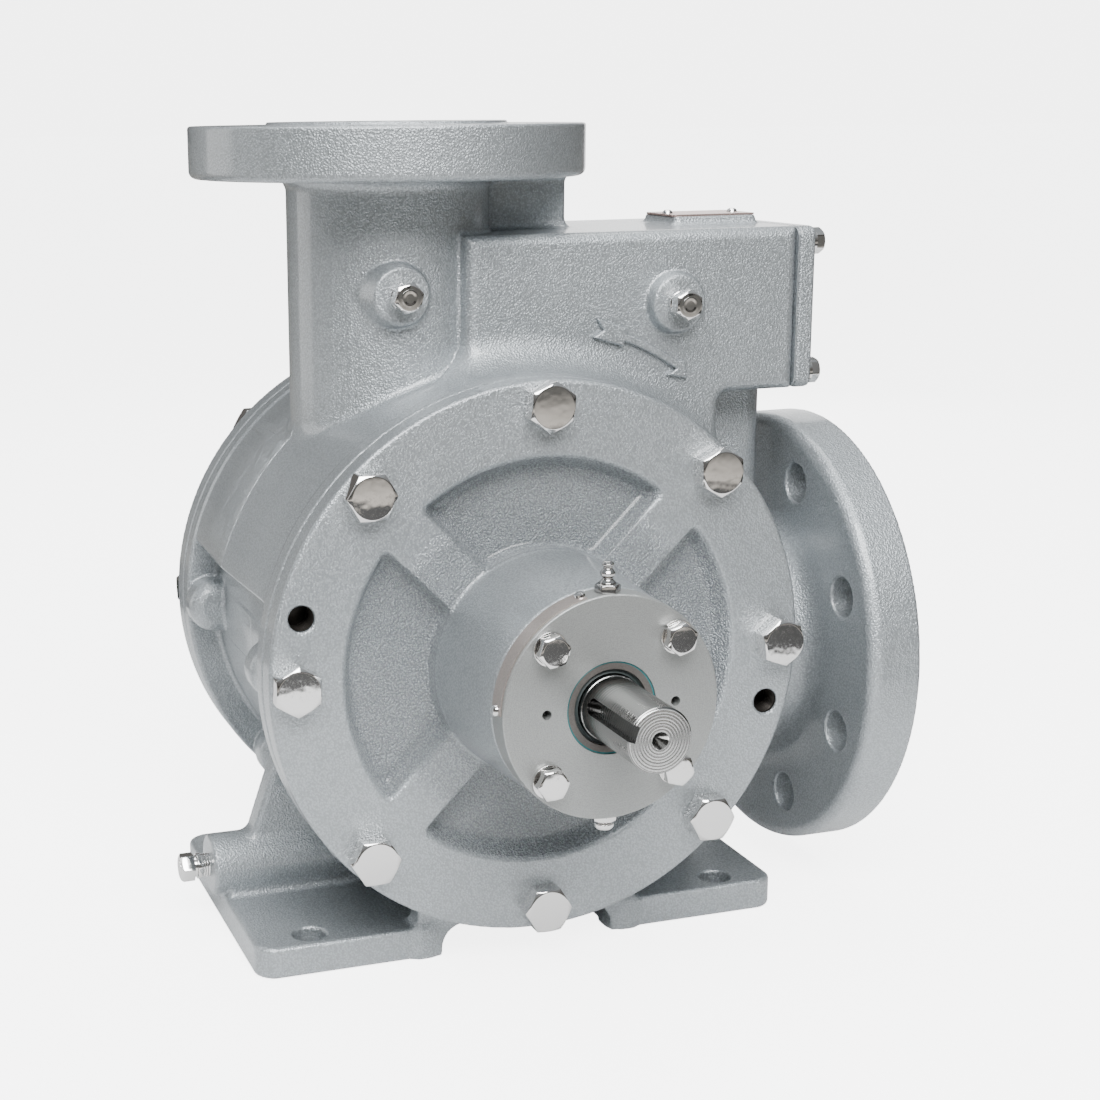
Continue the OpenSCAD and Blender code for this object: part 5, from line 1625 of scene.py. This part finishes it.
@dataclass(frozen=True)
class TurnedMetal(Finish):
    """Machined metal with the lathe's rings about the shaft axis."""

    marks: float = 0.3
    pitch: float = 2200.0

    def shade(self, shader: Shader, place: bpy.types.NodeSocket, rings: bpy.types.NodeSocket) -> bpy.types.NodeSocket:
        """The colour: lighter and darker rings under a fine speckle.

        Args:
            shader: The material's shader.
            place: Object coordinates.
            rings: The rings' shade.

        Returns:
            The colour.
        """
        speckle = shader.math("MULTIPLY", shader.noise(place, 1900.0, 2.0), 0.65)
        both = shader.math("MULTIPLY_ADD", rings, 0.35, speckle)
        return shader.blend(shader.span(both, 0.38, 0.62), self.tint(0.80), self.tint(1.12))

    def material(self) -> bpy.types.Material:
        """The finish as a material."""
        material, shader, principled, place = self.start()
        centred = shader.node("ShaderNodeMapping", Vector=place)
        centred.inputs["Location"].default_value = (0.0, SHAFT_Z * MM, 0.0)
        centred.inputs["Rotation"].default_value = (math.radians(90), 0.0, 0.0)
        rings = shader.node("ShaderNodeGroup", node_tree=bpy.data.node_groups["turning_marks"])
        shader.feed(rings.inputs["Place"], centred.outputs[0])
        rings.inputs["Pitch"].default_value = self.pitch
        shader.feed(principled.inputs["Normal"], shader.bump(rings.outputs["Height"], self.marks, 0.0002))
        shader.feed(principled.inputs["Base Color"], self.shade(shader, place, rings.outputs["Shade"]))
        rough = shader.span(rings.outputs["Shade"], 0.3, 0.7, self.roughness + 0.06, self.roughness - 0.04)
        shader.feed(principled.inputs["Roughness"], rough)
        return material


@dataclass(frozen=True)
class KeyedShaft(TurnedMetal):
    """A ground shaft, in millimetres: freshly faced at its tip, with painted shade along its side standing in for the
    dark surroundings that it mirrors, and a darker painted shadow in the key's slot.
    """

    tip: float = 244.0
    radius: float = 15.875
    centre_hole: float = 7.0

    def shade(self, shader: Shader, place: bpy.types.NodeSocket, rings: bpy.types.NodeSocket) -> bpy.types.NodeSocket:
        """The colour: tip, side and slot are told apart by the distance from the middle plane and from the axis. The
        side's darkening is painted shade, and the slot's is painted shadow.
        """
        faced = super().shade(shader, place, rings)
        x, y, z = shader.apart(place)
        away = shader.away(x, shader.math("SUBTRACT", z, SHAFT_Z * MM))
        edge, hole, tip = (self.radius - 0.5) * MM, self.centre_hole * MM, -self.tip * MM
        near_tip = shader.span(y, tip + 0.0002, tip + 0.0005, 1.0, 0.0)
        within = shader.span(away, edge, edge + 0.0003, 1.0, 0.0)
        slot_shadow_mask = shader.math("MULTIPLY", within, shader.span(away, hole, hole + 0.0003))
        # Painted shade along the side, and painted shadow in the key's slot.
        side = shader.blend(slot_shadow_mask, self.tint(0.52), self.tint(0.2))
        return shader.blend(near_tip, side, faced)


@dataclass(frozen=True)
class PlainStock(Finish):
    """A moulded, pressed or rolled material with a fine even speckle."""

    speckle: float = 1200.0
    depth: float = 0.25

    def material(self) -> bpy.types.Material:
        """The finish as a material."""
        material, shader, principled, place = self.start()
        noise = shader.noise(place, self.speckle, 3.0)
        shader.feed(principled.inputs["Normal"], shader.bump(noise, self.depth, 0.0003))
        shade = shader.blend(shader.span(noise, 0.35, 0.65), self.tint(0.88), self.tint(1.1))
        shader.feed(principled.inputs["Base Color"], shade)
        return material


class Finishes:
    """The pump's finishes, each built once."""

    def __init__(self) -> None:
        """Builds the shared shader groups and then every material."""
        grain_group()
        rings_group()
        self.enamel = CastEnamel("silver_enamel", (0.42, 0.45, 0.47), 0.42, 0.75, 0.8, 0.12).material()
        self.nickel = PlatedSteel("bright_nickel", (0.80, 0.79, 0.78), 0.05, 1.0).material()
        self.chrome = PlatedSteel("dark_chrome", (0.50, 0.49, 0.48), 0.06, 1.0).material()
        self.cap = TurnedMetal("machined_cap", (0.36, 0.37, 0.365), 0.38, 0.6, 0.1, marks=0.10).material()
        self.shaft = KeyedShaft("ground_shaft", (0.62, 0.62, 0.61), 0.18, 1.0, marks=0.5, pitch=1450.0).material()
        self.inside = TurnedMetal("machined_iron", (0.30, 0.30, 0.30), 0.42, 1.0).material()
        self.wire = PlainStock("spring_wire", (0.10, 0.10, 0.11), 0.35, 0.9).material()
        self.rubber = PlainStock("seal_rubber", (0.035, 0.045, 0.045), 0.55).material()
        self.board = PlainStock("gasket_board", (0.06, 0.06, 0.065), 0.8).material()
        self.carbon = PlainStock("carbon_composite", (0.03, 0.03, 0.032), 0.45).material()
        self.teal = PlainStock("seal_rim", (0.03, 0.15, 0.16), 0.35, 0.3).material()
        self.seal_face = PlainStock("seal_face", (0.10, 0.092, 0.085), 0.5, 0.2).material()
        # Oiled threads. They are so dark that they also serve as painted shade inside the jack holes and as painted
        # shadow on the holes' floors.
        self.hole = PlainStock("oiled_thread_and_painted_shadow", (0.05, 0.045, 0.04), 0.35, 0.8).material()
        self.sealant = PlainStock("thread_sealant", (0.20, 0.10, 0.045), 0.6).material()
        self.strip = PlainStock("bare_strip", (0.40, 0.355, 0.33), 0.36, 0.7, depth=0.1).material()
        self.plate = PlainStock("bare_plate", (0.66, 0.50, 0.46), 0.3, 0.9, depth=0.1).material()


SLOT_FINISH = {
    "painted_casting": "enamel",
    "bright_plated_steel": "nickel",
    "machined_iron": "inside",
    "ground_steel": "shaft",
    "spring_steel": "wire",
    "black_rubber": "rubber",
    "gasket_board": "board",
    "carbon_composite": "carbon",
    "bare_plate": "plate",
}


def cast_pieces(finishes: Finishes) -> None:
    """Replaces the case and both heads by their cast skins.

    Args:
        finishes: The pump's finishes.
    """
    case = CaseCasting().skin(mesher_of(1.6))
    Piece("case_casting", case).dress(finishes.enamel, "pump_body", ["case"])
    head = HeadCasting().skin(mesher_of(1.5))
    for end, skin in zip(End, (head, mirrored(head))):
        side = end.name.lower()
        casting = Piece(f"{side}_head_casting", skin)
        casting.dress(finishes.enamel, "pump_body", [f"{side}_head"])


def dress_nodes(finishes: Finishes) -> None:
    """Gives every CAD node the finish of its material slot.

    Args:
        finishes: The pump's finishes.
    """
    own = {
        "rim_strip": finishes.strip,
        "cover_gasket": finishes.enamel,
        "front_bearing_cap": finishes.cap,
        "rear_bearing_cap": finishes.cap,
    }
    for part in frame["record"]["subparts"]:
        node = frame["nodes"][part["node"]]
        finish = own.get(part["node"], getattr(finishes, SLOT_FINISH[part["material_slot"]]))
        node.data.materials.clear()
        node.data.materials.append(finish)


@dataclass(frozen=True)
class Studio:
    """Floor, light and camera, in metres. The photograph's own sizes are in pixels."""

    camera_at: tuple[float, float, float] = (-0.36959, -0.99395, 0.44083)
    azimuth: float = -17.770
    elevation: float = 13.129
    roll: float = -0.627
    photo_side: float = 1100.0
    focal: float = 1932.1
    centre: tuple[float, float] = (384.81, 562.26)
    sensor: float = 36.0
    white: float = 5.0
    floor_half: float = 40.0
    table_edge: tuple[float, float] = (0.66, 0.70)
    room_start: tuple[float, float] = (1.15, 1.3)
    aim: tuple[float, float, float] = (0.0, 0.0, 0.22)

    def camera(self) -> None:
        """Places the camera where the photograph was taken from, with the frame shifted as its cropping asks."""
        a, e, r = (math.radians(v) for v in (self.azimuth, self.elevation, self.roll))
        back = np.array([math.sin(a) * math.cos(e), -math.cos(a) * math.cos(e), math.sin(e)])
        right = np.array([math.cos(a), math.sin(a), 0.0])
        up = np.cross(back, right)
        right, up = math.cos(r) * right + math.sin(r) * up, math.cos(r) * up - math.sin(r) * right
        data = bpy.data.cameras.new("camera")
        data.sensor_width = self.sensor
        data.lens = self.focal / self.photo_side * self.sensor
        data.shift_x = (self.photo_side / 2 - self.centre[0]) / self.photo_side
        data.shift_y = (self.centre[1] - self.photo_side / 2) / self.photo_side
        data.clip_start = 0.05
        camera = bpy.data.objects.new("camera", data)
        rows = np.eye(4)
        rows[:3, 0], rows[:3, 1], rows[:3, 2], rows[:3, 3] = right, up, back, self.camera_at
        camera.matrix_world = Matrix(rows.tolist())
        bpy.context.scene.collection.objects.link(camera)
        bpy.context.scene.camera = camera

    def floor(self) -> None:
        """A wide pale floor. Mirrored in the pump it is a white table with a dark edge, and a room beyond."""
        corners = np.array([[-1, -1, 0], [1, -1, 0], [1, 1, 0], [-1, 1, 0]], float) * self.floor_half / MM
        floor = Piece("floor", Skin(corners, np.array([[0, 1, 2, 3]]), np.tile([0.0, 0.0, 1.0], (4, 1)))).object
        finish = Finish("pale_floor", (0.80, 0.80, 0.80), 0.7)
        material, shader, principled, place = finish.start()
        shade = shader.blend(shader.noise(place, 3.0, 2.0), finish.tint(0.99), finish.tint(1.01))
        away = shader.node("ShaderNodeVectorMath", operation="LENGTH", Vector=place).outputs["Value"]
        room = shader.blend(shader.span(away, *self.room_start), (0.02, 0.02, 0.02, 1.0), (0.40, 0.37, 0.33, 1.0))
        table = shader.blend(shader.span(away, *self.table_edge), shade, room)
        seen = shader.node("ShaderNodeLightPath").outputs["Is Camera Ray"]
        shader.feed(principled.inputs["Base Color"], shader.blend(seen, table, shade))
        principled.inputs["Emission Color"].default_value = (1.0, 1.0, 1.0, 1.0)
        shader.feed(principled.inputs["Emission Strength"], shader.math("MULTIPLY", seen, self.white - 0.2))
        floor.data.materials.append(material)

    def lamp(self, name: str, at: Sequence[float], size: tuple[float, float], power: float) -> None:
        """A soft box that looks at the pump's middle.

        Args:
            name: The lamp's name.
            at: Its place in metres.
            size: Width and height of the box.
            power: Its power in watts.
        """
        data = bpy.data.lights.new(name, "AREA")
        data.shape = "RECTANGLE"
        data.size, data.size_y = size
        data.energy = power
        lamp = bpy.data.objects.new(name, data)
        lamp.location = at
        lamp.rotation_euler = (Vector(self.aim) - Vector(at)).to_track_quat("-Z", "Y").to_euler()
        bpy.context.scene.collection.objects.link(lamp)

    def lights(self) -> None:
        """Soft boxes round the pump, and a surround like a room: dim beige walls, and a cooler, brighter ceiling."""
        self.lamp("front_box", (-0.35, -1.45, 1.7), (1.8, 1.0), 92)
        self.lamp("left_panel", (-1.6, 1.15, 0.55), (0.9, 1.3), 9)
        self.lamp("top_box", (0.1, 0.4, 1.9), (1.4, 0.9), 22)
        self.lamp("back_box", (0.9, 1.7, 0.7), (0.8, 1.0), 6)
        world = bpy.data.worlds.new("surround")
        bpy.context.scene.world = world
        world.use_nodes = True
        shader = Shader(world.node_tree)
        background = world.node_tree.nodes["Background"]
        place = shader.node("ShaderNodeTexCoord").outputs["Generated"]
        height = shader.apart(place)[2]
        seen = shader.node("ShaderNodeLightPath").outputs["Is Camera Ray"]
        room = shader.blend(shader.span(height, 0.15, 0.6), (0.95, 0.91, 0.86, 1.0), (0.90, 0.96, 1.0, 1.0))
        shader.feed(background.inputs["Color"], shader.blend(seen, room, (1.0, 1.0, 1.0, 1.0)))
        wall = shader.math("ADD", shader.span(height, 0.0, 0.1, 0.02, 0.16), shader.span(height, 0.25, 0.7, 0.0, 0.3))
        shader.feed(background.inputs["Strength"], shader.span(seen, 0.0, 1.0, wall, self.white))


def main() -> None:
    """Builds the looks in order, and notes the size of the result."""
    logging.basicConfig(level=logging.INFO, format="%(message)s")
    finishes = Finishes()
    studio = Studio()
    studio.camera()
    studio.floor()
    studio.lights()
    dress_nodes(finishes)
    cast_pieces(finishes)
    Fasteners().build(finishes)
    Fittings().build(finishes)
    ShaftSeal().build(finishes)
    ReliefSpring().build(finishes)
    Trim().build(finishes)


if __name__ == "__main__":
    main()
